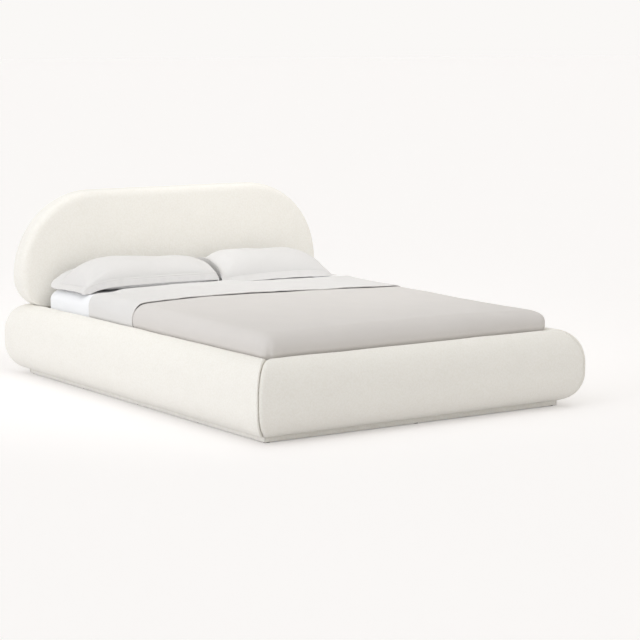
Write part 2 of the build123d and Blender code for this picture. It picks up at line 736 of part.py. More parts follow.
def mattress_block(inset):
    """The made-up mattress as a block with round corners, a given inset inside it."""
    length = MATTRESS_L - 2 * inset
    width = MATTRESS_W - 2 * inset
    top = MATTRESS_TOP - inset
    centre = (MATTRESS_FOOT_Y + MATTRESS_HEAD_Y) / 2
    with BuildPart() as body:
        with BuildSketch(Plane.XY.offset(PLATFORM_TOP)):
            with Locations((0, centre)):
                RectangleRounded(width, length, MATTRESS_CORNER_R - inset)
        extrude(amount=top - PLATFORM_TOP)
        fillet(edges().group_by(Axis.Z)[-1], radius=MATTRESS_EDGE_R - inset)
        fillet(edges().group_by(Axis.Z)[0], radius=MATTRESS_EDGE_R / 2)
    return body.part


def make_mattress():
    """Mattress and the fitted sheet over its top and sides."""
    inner = mattress_block(SHEET_T + SOFT_GAP)
    hollow = mattress_block(SHEET_T)
    outer = mattress_block(0)
    with BuildPart() as mattress:
        add(inner)
    finish(mattress, "mattress")
    with BuildPart() as sheet:
        add(outer)
        add(hollow, mode=Mode.SUBTRACT)
        hem = (0, PLATFORM_TOP + SHEET_HEM)
        box_between((-HALF_W, HALF_W), (-HALF_L, HALF_L), hem, Mode.SUBTRACT)
    finish(sheet, "fitted_sheet")


def make_duvet():
    """Duvet over the foot end: crowned top, soft edges and a round-cornered drop."""
    outset = DUVET_T + SOFT_GAP
    half = MATTRESS_W / 2 + outset
    edge_r = MATTRESS_EDGE_R + outset
    edge = MATTRESS_TOP + outset
    hem = PLATFORM_TOP + DUVET_HEM
    foot = MATTRESS_FOOT_Y - outset
    fold = foot + DUVET_L
    hollow = mattress_block(-SOFT_GAP)
    with BuildPart() as duvet:
        with BuildSketch(Plane.XZ.offset(-fold)):
            with BuildLine():
                Line((half, hem), (half, edge - edge_r))
                CenterArc((half - edge_r, edge - edge_r), edge_r, 0, 90)
                ThreePointArc((half - edge_r, edge), (0, edge + DUVET_CROWN), (edge_r - half, edge))
                CenterArc((edge_r - half, edge - edge_r), edge_r, 90, 90)
                Polyline((-half, edge - edge_r), (-half, hem), (half, hem))
            make_face()
        extrude(amount=DUVET_L)
        with BuildSketch(Plane.YZ):
            with BuildLine():
                Line((foot, hem), (foot, edge - edge_r))
                CenterArc((foot + edge_r, edge - edge_r), edge_r, 90, 90)
                high = (foot + DUVET_L / 2, edge + DUVET_CROWN)
                ThreePointArc((foot + edge_r, edge), high, (fold, edge + DUVET_CROWN / 2))
                Polyline((fold, edge + DUVET_CROWN / 2), (fold, hem), (foot, hem))
            make_face()
        extrude(amount=half, both=True, mode=Mode.INTERSECT)
        with BuildSketch(Plane.XY.offset(hem)):
            with Locations((0, (foot + fold) / 2)):
                Rectangle(2 * half, DUVET_L)
            fillet(vertices().group_by(Axis.Y)[0], radius=MATTRESS_CORNER_R + outset)
        extrude(amount=MATTRESS_T, mode=Mode.INTERSECT)
        add(hollow, mode=Mode.SUBTRACT)
    finish(duvet, "duvet")


def make_turned_sheet():
    """Sheet turned back over the duvet's head edge: a soft band with a raised fold."""
    outset = BAND_T + SOFT_GAP
    half = MATTRESS_W / 2 + outset
    edge_r = MATTRESS_EDGE_R + outset
    edge = MATTRESS_TOP + outset
    hem = PLATFORM_TOP + DUVET_HEM
    start = MATTRESS_FOOT_Y - DUVET_T + DUVET_L
    end = start + BAND_L
    high = edge + BAND_CROWN
    hollow = mattress_block(-SOFT_GAP)
    with BuildPart() as band:
        with BuildSketch(Plane.XZ.offset(-end)):
            with BuildLine():
                Line((half, hem), (half, edge - edge_r))
                CenterArc((half - edge_r, edge - edge_r), edge_r, 0, 90)
                ThreePointArc((half - edge_r, edge), (0, high), (edge_r - half, edge))
                CenterArc((edge_r - half, edge - edge_r), edge_r, 90, 90)
                Polyline((-half, edge - edge_r), (-half, hem), (half, hem))
            make_face()
        extrude(amount=BAND_L)
        with BuildSketch(Plane.YZ):
            with BuildLine():
                Line((start, hem), (start, high - BAND_LIP_R))
                CenterArc((start + BAND_LIP_R, high - BAND_LIP_R), BAND_LIP_R, 90, 90)
                Polyline((start + BAND_LIP_R, high), (end, high - BAND_FALL), (end, hem), (start, hem))
            make_face()
        extrude(amount=half, both=True, mode=Mode.INTERSECT)
        add(hollow, mode=Mode.SUBTRACT)
    finish(band, "turned_sheet")


# A pillow's sections: place across, depth and height, each as a share of the full one
PILLOW_SECTION_SHARES = (
    (-1.0, 0.84, 0.16), (-0.9, 0.95, 0.56), (-0.6, 1.0, 0.9), (0.0, 1.0, 1.0),
    (0.6, 1.0, 0.9), (0.9, 0.95, 0.56), (1.0, 0.84, 0.16),
)


def make_pillow(name, side):
    """Pillow leaning to the headboard: a crowned body with a flat rim all round."""
    seat = MATTRESS_TOP + SOFT_GAP
    back = MATTRESS_HEAD_Y - PILLOW_BACK_GAP
    centre_y = back - PILLOW_DEPTH / 2
    centre_x = side * (PILLOW_GAP + PILLOW_W) / 2
    half = PILLOW_W / 2 - PILLOW_RIM_W
    slope = (PILLOW_BACK_TIP_H - PILLOW_TIP_H) / PILLOW_DEPTH
    with BuildPart() as pillow:
        for across, depth, height in PILLOW_SECTION_SHARES:
            reach = PILLOW_DEPTH / 2 * depth - PILLOW_RIM_W
            lift = seat + PILLOW_END_LIFT * (1 - height)
            front = (centre_y - reach, lift + PILLOW_TIP_H)
            rear = (centre_y + reach, lift + PILLOW_BACK_TIP_H)
            top = (centre_y, max(lift + PILLOW_H * height, rear[1]))
            low = (centre_y - reach / 2, lift + PILLOW_BELLY_H)
            with BuildSketch(Plane.YZ.offset(centre_x + half * across)):
                with BuildLine():
                    ThreePointArc(front, top, rear)
                    ThreePointArc(rear, low, front)
                make_face()
        loft()
        rim_z = seat + (PILLOW_TIP_H + PILLOW_BACK_TIP_H) / 2 + PILLOW_END_LIFT / 2
        rim_plane = Plane(origin=(centre_x, centre_y, rim_z), x_dir=(1, 0, 0), z_dir=(0, -slope, 1))
        with BuildSketch(rim_plane):
            RectangleRounded(PILLOW_W, PILLOW_DEPTH, PILLOW_RIM_CORNER_R)
        extrude(amount=PILLOW_RIM_T / 2, both=True)
    finish(pillow, f"pillow_{name}")


make_rails()
make_corner_brackets()
make_plinth()
make_storage_floor()
make_headboard()
make_platform_frame()
make_slats()
make_lift_strap()
make_ledges()
make_lift_hinges()
make_bolts()
make_mattress()
make_duvet()
make_turned_sheet()
for pillow_name, pillow_side in SIDES:
    make_pillow(pillow_name, pillow_side)
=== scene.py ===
"""Made-up upholstered storage bed, dressed around its fixed frame of hard parts.

Everything is in metres in the bed's own frame: +Z up, +Y to the head, the origin on the
floor below the middle of the bed.
"""

import json
import logging
import math
from dataclasses import dataclass
from enum import Enum

import bpy
import numpy as np
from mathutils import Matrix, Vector


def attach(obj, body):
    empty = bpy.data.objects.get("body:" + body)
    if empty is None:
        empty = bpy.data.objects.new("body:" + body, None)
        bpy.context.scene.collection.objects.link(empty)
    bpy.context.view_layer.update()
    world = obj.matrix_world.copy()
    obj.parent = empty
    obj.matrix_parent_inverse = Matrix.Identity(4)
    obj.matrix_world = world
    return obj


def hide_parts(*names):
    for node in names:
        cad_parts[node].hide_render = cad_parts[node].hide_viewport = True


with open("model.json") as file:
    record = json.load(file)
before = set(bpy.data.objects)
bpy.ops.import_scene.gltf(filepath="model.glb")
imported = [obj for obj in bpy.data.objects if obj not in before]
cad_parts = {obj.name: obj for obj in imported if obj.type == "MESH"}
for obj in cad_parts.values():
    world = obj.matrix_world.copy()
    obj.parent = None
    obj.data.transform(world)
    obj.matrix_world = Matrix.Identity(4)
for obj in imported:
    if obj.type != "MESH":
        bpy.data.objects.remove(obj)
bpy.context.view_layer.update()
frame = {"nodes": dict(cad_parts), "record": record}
LOG = logging.getLogger("bed")
MM = 0.001
NO_LENGTH = 1e-12

Array = np.ndarray
Socket = bpy.types.NodeSocket
Node = bpy.types.Node
Material = bpy.types.Material
Piece = bpy.types.Object
Colour = tuple[float, float, float]
Place = tuple[float, float, float]
Waves = tuple[tuple[float, float], ...]


class Slot(Enum):
    """Material slots of the record."""

    BOUCLE = "boucle"
    FOAM = "foam"
    BOARD = "board"
    TIMBER = "timber"
    STEEL = "steel"
    ZINC = "zinc"
    ROD = "rod"
    RUBBER = "rubber"
    GLIDE = "glide"
    BEECH = "beech"
    WEBBING = "webbing"
    TICKING = "ticking"
    WHITE_COTTON = "white_cotton"
    GREIGE_LINEN = "greige_linen"
    PALE_LINEN = "pale_linen"


class Body(Enum):
    """Bodies that the soft pieces ride on."""

    BASE = "base"
    PLATFORM = "platform"


# Shader helpers


class Graph:
    """Places and links the nodes of one shader tree."""

    def __init__(self, tree: bpy.types.NodeTree) -> None:
        """Keep the tree of a material, a group or the world."""
        self.tree = tree

    def put(self, value: object, socket: Socket) -> None:
        """Link a socket to an input, or set the input's own value.

        Args:
            value: A socket, a number or a tuple.
            socket: The input.
        """
        if isinstance(value, Socket):
            self.tree.links.new(value, socket)
        else:
            socket.default_value = value

    def add(self, kind: str, inputs: dict | None = None, **settings: object) -> Node:
        """Place a node.

        Args:
            kind: The node's class without its ShaderNode prefix.
            inputs: Input name or number, to a socket to link or a value to set.
            **settings: Properties of the node, set before its inputs.

        Returns:
            The new node.
        """
        node = self.tree.nodes.new(kind if kind.startswith("Node") else "ShaderNode" + kind)
        for name, value in settings.items():
            setattr(node, name, value)
        for name, value in (inputs or {}).items():
            self.put(value, node.inputs[name])
        return node

    def math(self, operation: str, *values: object) -> Socket:
        """Result of a Math node, its inputs given in order as sockets or numbers."""
        return self.add("Math", dict(enumerate(values)), operation=operation).outputs[0]

    def vector(self, operation: str, first: object, second: object) -> Socket:
        """Result of a Vector Math node on two sockets or vectors."""
        return self.add("VectorMath", {0: first, 1: second}, operation=operation).outputs[0]

    def mix(self, factor: object, first: object, second: object) -> Socket:
        """Mix of two colours, each a socket or an RGB tuple; the factor is the share of the second."""
        ends = [(*value, 1.0) if isinstance(value, tuple) else value for value in (first, second)]
        return self.add("Mix", {0: factor, 6: ends[0], 7: ends[1]}, data_type="RGBA").outputs[2]

    def band(
        self, value: object, low: float = 0.3, high: float = 0.7, out_low: float = 0.0, out_high: float = 1.0
    ) -> Socket:
        """Map a value from one range to another, clamped.

        Args:
            value: The socket to map.
            low: Start of its range.
            high: End of its range.
            out_low: Result at the start.
            out_high: Result at the end.

        Returns:
            The mapped value's socket.
        """
        return self.add("MapRange", {0: value, 1: low, 2: high, 3: out_low, 4: out_high}).outputs[0]

    def noise(
        self, where: Socket, scale: object, detail: float = 2.0, roughness: float = 0.5,
        distortion: float = 0.0, output: int | str = 0,
    ) -> Socket:
        """Place a Noise node.

        Args:
            where: Its coordinates.
            scale: Its scale, as a number or a socket.
            detail: How many octaves it has.
            roughness: How strong the fine ones are.
            distortion: How much it is warped.
            output: Which output is wanted.

        Returns:
            The output's socket.
        """
        inputs = {
            "Vector": where, "Scale": scale, "Detail": detail, "Roughness": roughness,
            "Distortion": distortion,
        }
        return self.add("TexNoise", inputs).outputs[output]

    def own_place(self) -> Socket:
        """Coordinates fixed to the piece."""
        return self.add("TexCoord").outputs["Object"]

    def in_view(self) -> Socket:
        """1 for rays of the camera, also after a reflection or a pane, and 0 for light on the bed."""
        path = self.add("LightPath").outputs
        seen = self.math("MAXIMUM", path["Is Camera Ray"], path["Is Glossy Ray"])
        return self.math("MAXIMUM", seen, path["Is Transmission Ray"])

    def bump(self, shader: Node, height: Socket, distance: float, strength: float = 1.0) -> None:
        """Feed a height into a shader's normal, the distance in metres."""
        node = self.add("Bump", {"Height": height, "Distance": distance, "Strength": strength})
        self.put(node.outputs[0], shader.inputs["Normal"])


def new_group(name: str, inputs: dict[str, float], outputs: tuple[str, ...]) -> tuple[Graph, Node, Node]:
    """Start a shader node group of numbers.

    Args:
        name: The group's name.
        inputs: Input names, each to its default number.
        outputs: Output names.

    Returns:
        The group's graph, and its input and output nodes.
    """
    group = bpy.data.node_groups.new(name, "ShaderNodeTree")
    for key, value in inputs.items():
        socket = group.interface.new_socket(name=key, in_out="INPUT", socket_type="NodeSocketFloat")
        socket.default_value = value
    for key in outputs:
        group.interface.new_socket(name=key, in_out="OUTPUT", socket_type="NodeSocketFloat")
    graph = Graph(group)
    return graph, graph.add("NodeGroupInput"), graph.add("NodeGroupOutput")


class Effects:
    """The shader groups that several finishes share, built once."""

    THREAD_STREAKS = ((900.0, 30.0, 1.0), (30.0, 900.0, 1.0))
    DUST_FINENESS = 40.0
    RING_TURNS = 60.0
    PORE_SCALE = 14.0

    def __init__(self) -> None:
        """Build the groups."""
        self.weave = self.build_weave()
        self.dust = self.build_dust()
        self.wood = self.build_wood()

    def build_weave(self) -> bpy.types.NodeTree:
        """Build the woven cloth effect, laid out on the cloth's own flat coordinates.

        Returns:
            A group that puts out a height, a slub mask and a slow tone.
        """
        names = ("Height", "Slub", "Tone")
        g, inner, outer = new_group("woven_cloth", {"Threads": 900.0, "Slub": 0.5}, names)
        cloth = g.add("Attribute", attribute_name="cloth").outputs["Vector"]
        axes = g.add("SeparateXYZ", {0: cloth}).outputs
        turns = g.math("MULTIPLY", inner.outputs["Threads"], math.tau)
        warp, weft = (g.math("SINE", g.math("MULTIPLY", axes[k], turns)) for k in (0, 1))
        streaks = [
            g.noise(g.vector("MULTIPLY", cloth, scale), 1.0, 2.0, 0.6) for scale in self.THREAD_STREAKS
        ]
        slub = g.math("MULTIPLY", g.math("ADD", *streaks), 0.5)
        strong = g.math("MULTIPLY", g.math("SUBTRACT", slub, 0.5), inner.outputs["Slub"])
        height = g.math("ADD", g.math("MULTIPLY", g.math("MULTIPLY", warp, weft), 0.25), strong)
        results = (g.math("ADD", height, 0.5), slub, g.noise(cloth, 7.0, 3.0, 0.55))
        for name, result in zip(names, results):
            g.put(result, outer.inputs[name])
        return g.tree

    def build_dust(self) -> bpy.types.NodeTree:
        """Build the slow mottling and fine dust of a hard surface.

        Returns:
            A group that puts out a slow tone and a fine speckle.
        """
        g, inner, outer = new_group("mottle_and_dust", {"Scale": 6.0}, ("Tone", "Speckle"))
        where, scale = g.own_place(), inner.outputs["Scale"]
        g.put(g.noise(where, scale, 4.0, 0.6), outer.inputs["Tone"])
        fine = g.math("MULTIPLY", scale, self.DUST_FINENESS)
        g.put(g.noise(where, fine, 2.0, 0.7), outer.inputs["Speckle"])
        return g.tree

    def build_wood(self) -> bpy.types.NodeTree:
        """Build a wood grain: stretched rings with fine pores, its direction set by three scales.

        Returns:
            A group that puts out a ring mask and a pore mask.
        """
        inputs = {"Scale X": 30.0, "Scale Y": 2.0, "Scale Z": 30.0}
        g, inner, outer = new_group("wood_grain", inputs, ("Rings", "Pores"))
        scales = g.add("CombineXYZ", {k: inner.outputs[name] for k, name in enumerate(inputs)})
        along = g.vector("MULTIPLY", g.own_place(), scales.outputs[0])
        rings = g.math("SINE", g.math("MULTIPLY", g.noise(along, 0.6, 3.0, distortion=0.8), self.RING_TURNS))
        g.put(g.math("MULTIPLY_ADD", rings, 0.5, 0.5), outer.inputs["Rings"])
        g.put(g.noise(along, self.PORE_SCALE, 2.0, 0.7), outer.inputs["Pores"])
        return g.tree


def start_material(name: str, **constants: object) -> tuple[Material, Graph, Node]:
    """Start a material with one Principled shader.

    Args:
        name: The material's name.
        **constants: Shader inputs that are the same all over, with _ for a space.

    Returns:
        The material, its graph and its shader.
    """
    material = bpy.data.materials.new(name)
    material.use_nodes = True
    shader = material.node_tree.nodes["Principled BSDF"]
    for key, value in constants.items():
        shader.inputs[key.replace("_", " ")].default_value = value
    return material, Graph(material.node_tree), shader


def shade(colour: Colour, factor: float) -> Colour:
    """A colour made darker or lighter by a factor, at most white."""
    return tuple(min(1.0, part * factor) for part in colour)


# Finishes


@dataclass(frozen=True)
class Boucle:
    """Looped yarn upholstery: nubs of two sizes with curled loops between them."""

    colour: Colour = (0.922, 0.904, 0.857)
    # Painted shade: the tint of the pile's hollows, darker than the yarn, in place of the shade between the
    # loops.
    hollow: Colour = (0.945, 0.93, 0.9)
    nub_scale: float = 120.0
    loop_scale: float = 310.0
    nub_share: float = 0.7
    curl_scale: float = 90.0
    curl: float = 0.012
    relief: float = 2.2 * MM
    strength: float = 0.36

    def build(self, effects: Effects) -> Material:
        """Build the material.

        Args:
            effects: The shared groups.

        Returns:
            The material.
        """
        material, g, shader = start_material(
            "cream_boucle", Roughness=0.95, Sheen_Weight=0.25, Sheen_Roughness=0.45, Specular_IOR_Level=0.2
        )
        where = g.own_place()
        drift = g.noise(where, self.curl_scale, output="Color")
        bent = g.vector("ADD", where, g.vector("MULTIPLY", drift, (self.curl,) * 3))
        cells = {"Vector": bent, "Scale": self.nub_scale, "Smoothness": 0.6}
        nubs = g.add("TexVoronoi", cells, feature="SMOOTH_F1").outputs["Distance"]
        loops = g.add("TexVoronoi", {"Vector": bent, "Scale": self.loop_scale}).outputs["Distance"]
        nub = g.math("MULTIPLY", g.band(nubs, 0.05, 0.75, 1.0, 0.0), self.nub_share)
        loop = g.math("MULTIPLY", g.band(loops, 0.0, 0.7, 1.0, 0.0), 1 - self.nub_share)
        height = g.math("ADD", nub, loop)
        tone = g.add("Group", {"Scale": 9.0}, node_tree=effects.dust).outputs["Tone"]
        # Painted shade and light: the hollows between the nubs are darkened with the hollow tint and the nub
        # tops are lightened, as light and shade fall on the pile.
        deep = tuple(part * share for part, share in zip(self.colour, self.hollow))
        painted_pile_shade = g.mix(g.band(height, 0.1, 0.7), deep, shade(self.colour, 1.02))
        worn = g.mix(g.band(tone, 0.35, 0.65), shade(self.colour, 0.975), self.colour)
        g.put(g.mix(0.5, painted_pile_shade, worn), shader.inputs["Base Color"])
        g.bump(shader, height, self.relief, self.strength)
        return material


@dataclass(frozen=True)
class Cloth:
    """Woven bedding or cover cloth."""

    name: str
    colour: Colour
    threads: float = 700.0
    slub: float = 0.6
    relief: float = 0.25 * MM
    roughness: float = 0.85
    sheen: float = 0.12

    def build(self, effects: Effects) -> Material:
        """Build the material.

        Args:
            effects: The shared groups.

        Returns:
            The material.
        """
        material, g, shader = start_material(
            self.name, Sheen_Weight=self.sheen, Sheen_Roughness=0.5, Specular_IOR_Level=0.25
        )
        inputs = {"Threads": self.threads, "Slub": self.slub}
        weave = g.add("Group", inputs, node_tree=effects.weave).outputs
        yarn = g.mix(g.band(weave["Slub"]), shade(self.colour, 0.965), shade(self.colour, 1.02))
        washed = g.mix(g.band(weave["Tone"]), shade(self.colour, 0.975), shade(self.colour, 1.015))
        g.put(g.mix(0.5, yarn, washed), shader.inputs["Base Color"])
        rough = g.band(weave["Slub"], out_low=self.roughness - 0.05, out_high=self.roughness + 0.05)
        g.put(rough, shader.inputs["Roughness"])
        g.bump(shader, weave["Height"], self.relief, 0.6)
        return material


@dataclass(frozen=True)
class Foam:
    """Open-cell upholstery foam."""

    colour: Colour = (0.8, 0.73, 0.5)
    cell_scale: float = 700.0
    relief: float = 0.5 * MM

    def build(self, effects: Effects) -> Material:
        """Build the material.

        Args:
            effects: The shared groups.

        Returns:
            The material.
        """
        material, g, shader = start_material("cut_foam", Roughness=0.95, Specular_IOR_Level=0.15)
        inputs = {"Vector": g.own_place(), "Scale": self.cell_scale}
        cells = g.add("TexVoronoi", inputs).outputs["Distance"]
        tone = g.add("Group", {"Scale": 5.0}, node_tree=effects.dust).outputs["Tone"]
        # Painted shade: darker in the cell pores and lighter on the struts between them, as shade falls in
        # the open cells.
        colour = g.mix(g.band(cells, 0.1, 0.6), shade(self.colour, 0.72), self.colour)
        colour = g.mix(g.band(tone, out_high=0.35), colour, shade(self.colour, 0.9))
        g.put(colour, shader.inputs["Base Color"])
        g.bump(shader, cells, self.relief)
        return material


@dataclass(frozen=True)
class Wood:
    """Sawn, planed or veneered wood with its grain along one axis."""

    name: str
    light: Colour
    dark: Colour
    scales: tuple[float, float, float]
    roughness: float = 0.6
    relief: float = 0.25 * MM

    def build(self, effects: Effects) -> Material:
        """Build the material.

        Args:
            effects: The shared groups.

        Returns:
            The material.
        """
        material, g, shader = start_material(self.name, Specular_IOR_Level=0.35)
        scales = dict(zip(("Scale X", "Scale Y", "Scale Z"), self.scales))
        grain = g.add("Group", scales, node_tree=effects.wood).outputs
        tone = g.add("Group", {"Scale": 4.0}, node_tree=effects.dust).outputs["Tone"]
        colour = g.mix(g.band(grain["Rings"], 0.0, 1.0), self.light, self.dark)
        colour = g.mix(g.band(grain["Pores"], 0.55, 0.75, 0.0, 0.35), colour, shade(self.dark, 0.7))
        colour = g.mix(g.band(tone, out_high=0.25), colour, shade(self.light, 1.1))
        g.put(colour, shader.inputs["Base Color"])
        rough = g.band(grain["Pores"], out_low=self.roughness - 0.08, out_high=self.roughness + 0.12)
        g.put(rough, shader.inputs["Roughness"])
        g.bump(shader, grain["Pores"], self.relief, 0.6)
        return material


@dataclass(frozen=True)
class Metal:
    """Plated, polished or powder-coated steel."""

    name: str
    colour: Colour
    metallic: float
    roughness: float
    texture: float
    worn: Colour

    def build(self, effects: Effects) -> Material:
        """Build the material.

        Args:
            effects: The shared groups.

        Returns:
            The material.
        """
        material, g, shader = start_material(self.name, Metallic=self.metallic)
        dust = g.add("Group", {"Scale": 18.0}, node_tree=effects.dust).outputs
        tone = g.band(dust["Tone"], 0.35, 0.7)
        speckle = g.band(dust["Speckle"], 0.4, 0.75, 0.0, 0.4)
        colour = g.mix(speckle, g.mix(tone, self.colour, self.worn), shade(self.worn, 1.15))
        g.put(colour, shader.inputs["Base Color"])
        rough = g.band(dust["Tone"], out_low=self.roughness - 0.06, out_high=self.roughness + 0.1)
        g.put(rough, shader.inputs["Roughness"])
        g.bump(shader, dust["Speckle"], self.texture, 0.5)
        return material


@dataclass(frozen=True)
class Moulded:
    """Moulded rubber or nylon."""

    name: str
    colour: Colour
    roughness: float
    relief: float = 0.1 * MM

    def build(self, effects: Effects) -> Material:
        """Build the material.

        Args:
            effects: The shared groups.

        Returns:
            The material.
        """
        material, g, shader = start_material(self.name, Specular_IOR_Level=0.4)
        dust = g.add("Group", {"Scale": 25.0}, node_tree=effects.dust).outputs
        tone = g.band(dust["Tone"], 0.3, 0.75, 0.0, 0.5)
        g.put(g.mix(tone, self.colour, shade(self.colour, 1.7)), shader.inputs["Base Color"])
        rough = g.band(dust["Speckle"], out_low=self.roughness - 0.08, out_high=self.roughness + 0.1)
        g.put(rough, shader.inputs["Roughness"])
        g.bump(shader, dust["Speckle"], self.relief, 0.4)
        return material


class Finishes:
    """All finishes of the bed, by material slot."""

    def __init__(self) -> None:
        """Build every material once."""
        effects = Effects()
        black = (0.022, 0.022, 0.024)
        recipes = {
            Slot.BOUCLE: Boucle(),
            Slot.FOAM: Foam(),
            Slot.BOARD: Wood("birch_plywood", (0.62, 0.46, 0.29), (0.5, 0.34, 0.19), (9.0, 1.1, 9.0)),
            Slot.TIMBER: Wood("planed_pine", (0.66, 0.47, 0.26), (0.45, 0.27, 0.12), (26.0, 1.6, 26.0)),
            Slot.STEEL: Metal("black_powder_coat", black, 0.0, 0.55, 0.12 * MM, (0.035, 0.035, 0.037)),
            Slot.ZINC: Metal("zinc_plate", (0.6, 0.61, 0.62), 1.0, 0.38, 0.04 * MM, (0.47, 0.48, 0.5)),
            Slot.ROD: Metal("polished_rod", (0.78, 0.78, 0.8), 1.0, 0.16, 0.01 * MM, (0.7, 0.7, 0.72)),
            Slot.RUBBER: Moulded("matt_rubber", (0.016, 0.016, 0.016), 0.75),
            Slot.GLIDE: Moulded("dark_nylon", (0.03, 0.03, 0.032), 0.5),
            Slot.BEECH: Wood(
                "laminated_beech", (0.66, 0.45, 0.27), (0.52, 0.32, 0.17), (1.4, 30.0, 30.0), 0.42
            ),
            Slot.WEBBING: Cloth("grey_webbing", (0.05, 0.048, 0.045), 350.0, 0.3, 0.5 * MM, 0.7, 0.1),
            Slot.TICKING: Cloth("knitted_ticking", (0.8, 0.79, 0.76), 420.0, 0.4, 0.45 * MM),
            Slot.WHITE_COTTON: Cloth("white_cotton", (0.92, 0.93, 0.95), 1100.0, 0.25, 0.12 * MM, 0.8),
            Slot.GREIGE_LINEN: Cloth("washed_greige_linen", (0.7, 0.672, 0.648), 700.0, 0.8, 0.28 * MM),
            Slot.PALE_LINEN: Cloth("pale_washed_linen", (0.76, 0.748, 0.736), 800.0, 0.6, 0.2 * MM),
        }
        self.materials = {slot: recipe.build(effects) for slot, recipe in recipes.items()}

    def dress(self, piece: Piece, slot: Slot) -> None:
        """Give a piece the finish of a slot."""
        piece.data.materials.clear()
        piece.data.materials.append(self.materials[slot])

    def report(self, piece: Piece, slot: Slot, body: Body) -> Piece:
        """Dress a new piece, name its slot and let it ride on its body.

        Args:
            piece: The piece.
            slot: Its finish.
            body: The body that it moves with.

        Returns:
            The piece.
        """
        self.dress(piece, slot)
        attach(piece, body.value)
        LOG.info("%s: %d faces, %s, on %s", piece.name, len(piece.data.polygons), slot.value, body.value)
        return piece


# Mesh helpers


def at(x: Array | float, y: Array | float, z: Array | float) -> Array:
    """Points from their three measures, each an array or one number for all."""
    return np.stack(np.broadcast_arrays(x, y, z), axis=-1)


def unit(vectors: Array) -> Array:
    """Vectors in the last axis, made one long."""
    return vectors / (np.linalg.norm(vectors, axis=-1, keepdims=True) + NO_LENGTH)


def smoothstep(value: Array) -> Array:
    """Ease a value from 0 to 1, clamped."""
    t = np.clip(value, 0.0, 1.0)
    return t * t * (3 - 2 * t)


def bell(value: Array, width: float) -> Array:
    """1 where a value is 0, falling to nothing within about two widths."""
    return np.exp(-((value / width) ** 2))


def swell(points: Array, wavelength: float, seed: int, waves: int = 7) -> Array:
    """Slow uneven swell from a few crossing waves.

    Args:
        points: Points, in the last axis.
        wavelength: Usual length of a wave in metres.
        seed: Seed of the waves.
        waves: How many waves cross.

    Returns:
        One number for each point, about -1 to 1.
    """
    rng = np.random.default_rng(seed)
    total = np.zeros(points.shape[:-1])
    for _ in range(waves):
        direction = rng.normal(size=3)
        direction /= np.linalg.norm(direction)
        pitch = math.tau / (wavelength * rng.uniform(0.7, 1.5))
        total += np.sin(points @ direction * pitch + rng.uniform(0, math.tau))
    return total / math.sqrt(waves)


def drifting(place: Array, pitch: float, drift: float, drift_pitch: float) -> Array:
    """A wave along a place whose phase drifts, so that it never repeats evenly."""
    return np.sin(place * pitch + drift * np.sin(place * drift_pitch))


def ripple(points: Array, seed: int, waves: Waves) -> Array:
    """Sum of swells, each with its length and height, their seeds counted up from the first."""
    return sum(swell(points, length, seed + k) * height for k, (length, height) in enumerate(waves))


@dataclass(frozen=True)
class Crease:
    """A crease between two places, fading at its ends."""

    start: Place
    end: Place
    width: float
    depth: float

    def press(self, points: Array) -> Array:
        """How deep the crease presses points in.

        Args:
            points: Points, in the last axis.

        Returns:
            The full depth on the crease and 0 away from it.
        """
        start = np.array(self.start)
        along = np.array(self.end) - start
        t = np.clip((points - start) @ along / (along @ along), 0.0, 1.0)
        away = np.linalg.norm(points - start - t[..., None] * along, axis=-1)
        return self.depth * bell(away, self.width) * np.sin(math.pi * np.clip(t, 0.02, 0.98)) ** 0.5


def grid_normals(points: Array, inside: Place) -> Array:
    """Unit normals of a grid of points, turned away from a point inside."""
    normals = unit(np.cross(np.gradient(points, axis=0), np.gradient(points, axis=1)))
    return normals if np.sum(normals * (points - np.array(inside))) >= 0 else -normals


def border(grid: Array) -> Array:
    """Entries of a grid's edge, once round in order."""
    return np.concatenate([grid[:-1, 0], grid[-1, :-1], grid[:0:-1, -1], grid[0, :0:-1]])


def neighbours(grid: Array) -> Array:
    """For each point of a grid's edge, the point next to it towards the inside.

    Args:
        grid: Grid of points.

    Returns:
        A grid whose edge holds those neighbours.
    """
    near = grid.copy()
    near[0], near[-1] = grid[1], grid[-2]
    near[:, 0], near[:, -1] = near[:, 1], near[:, -2]
    return near


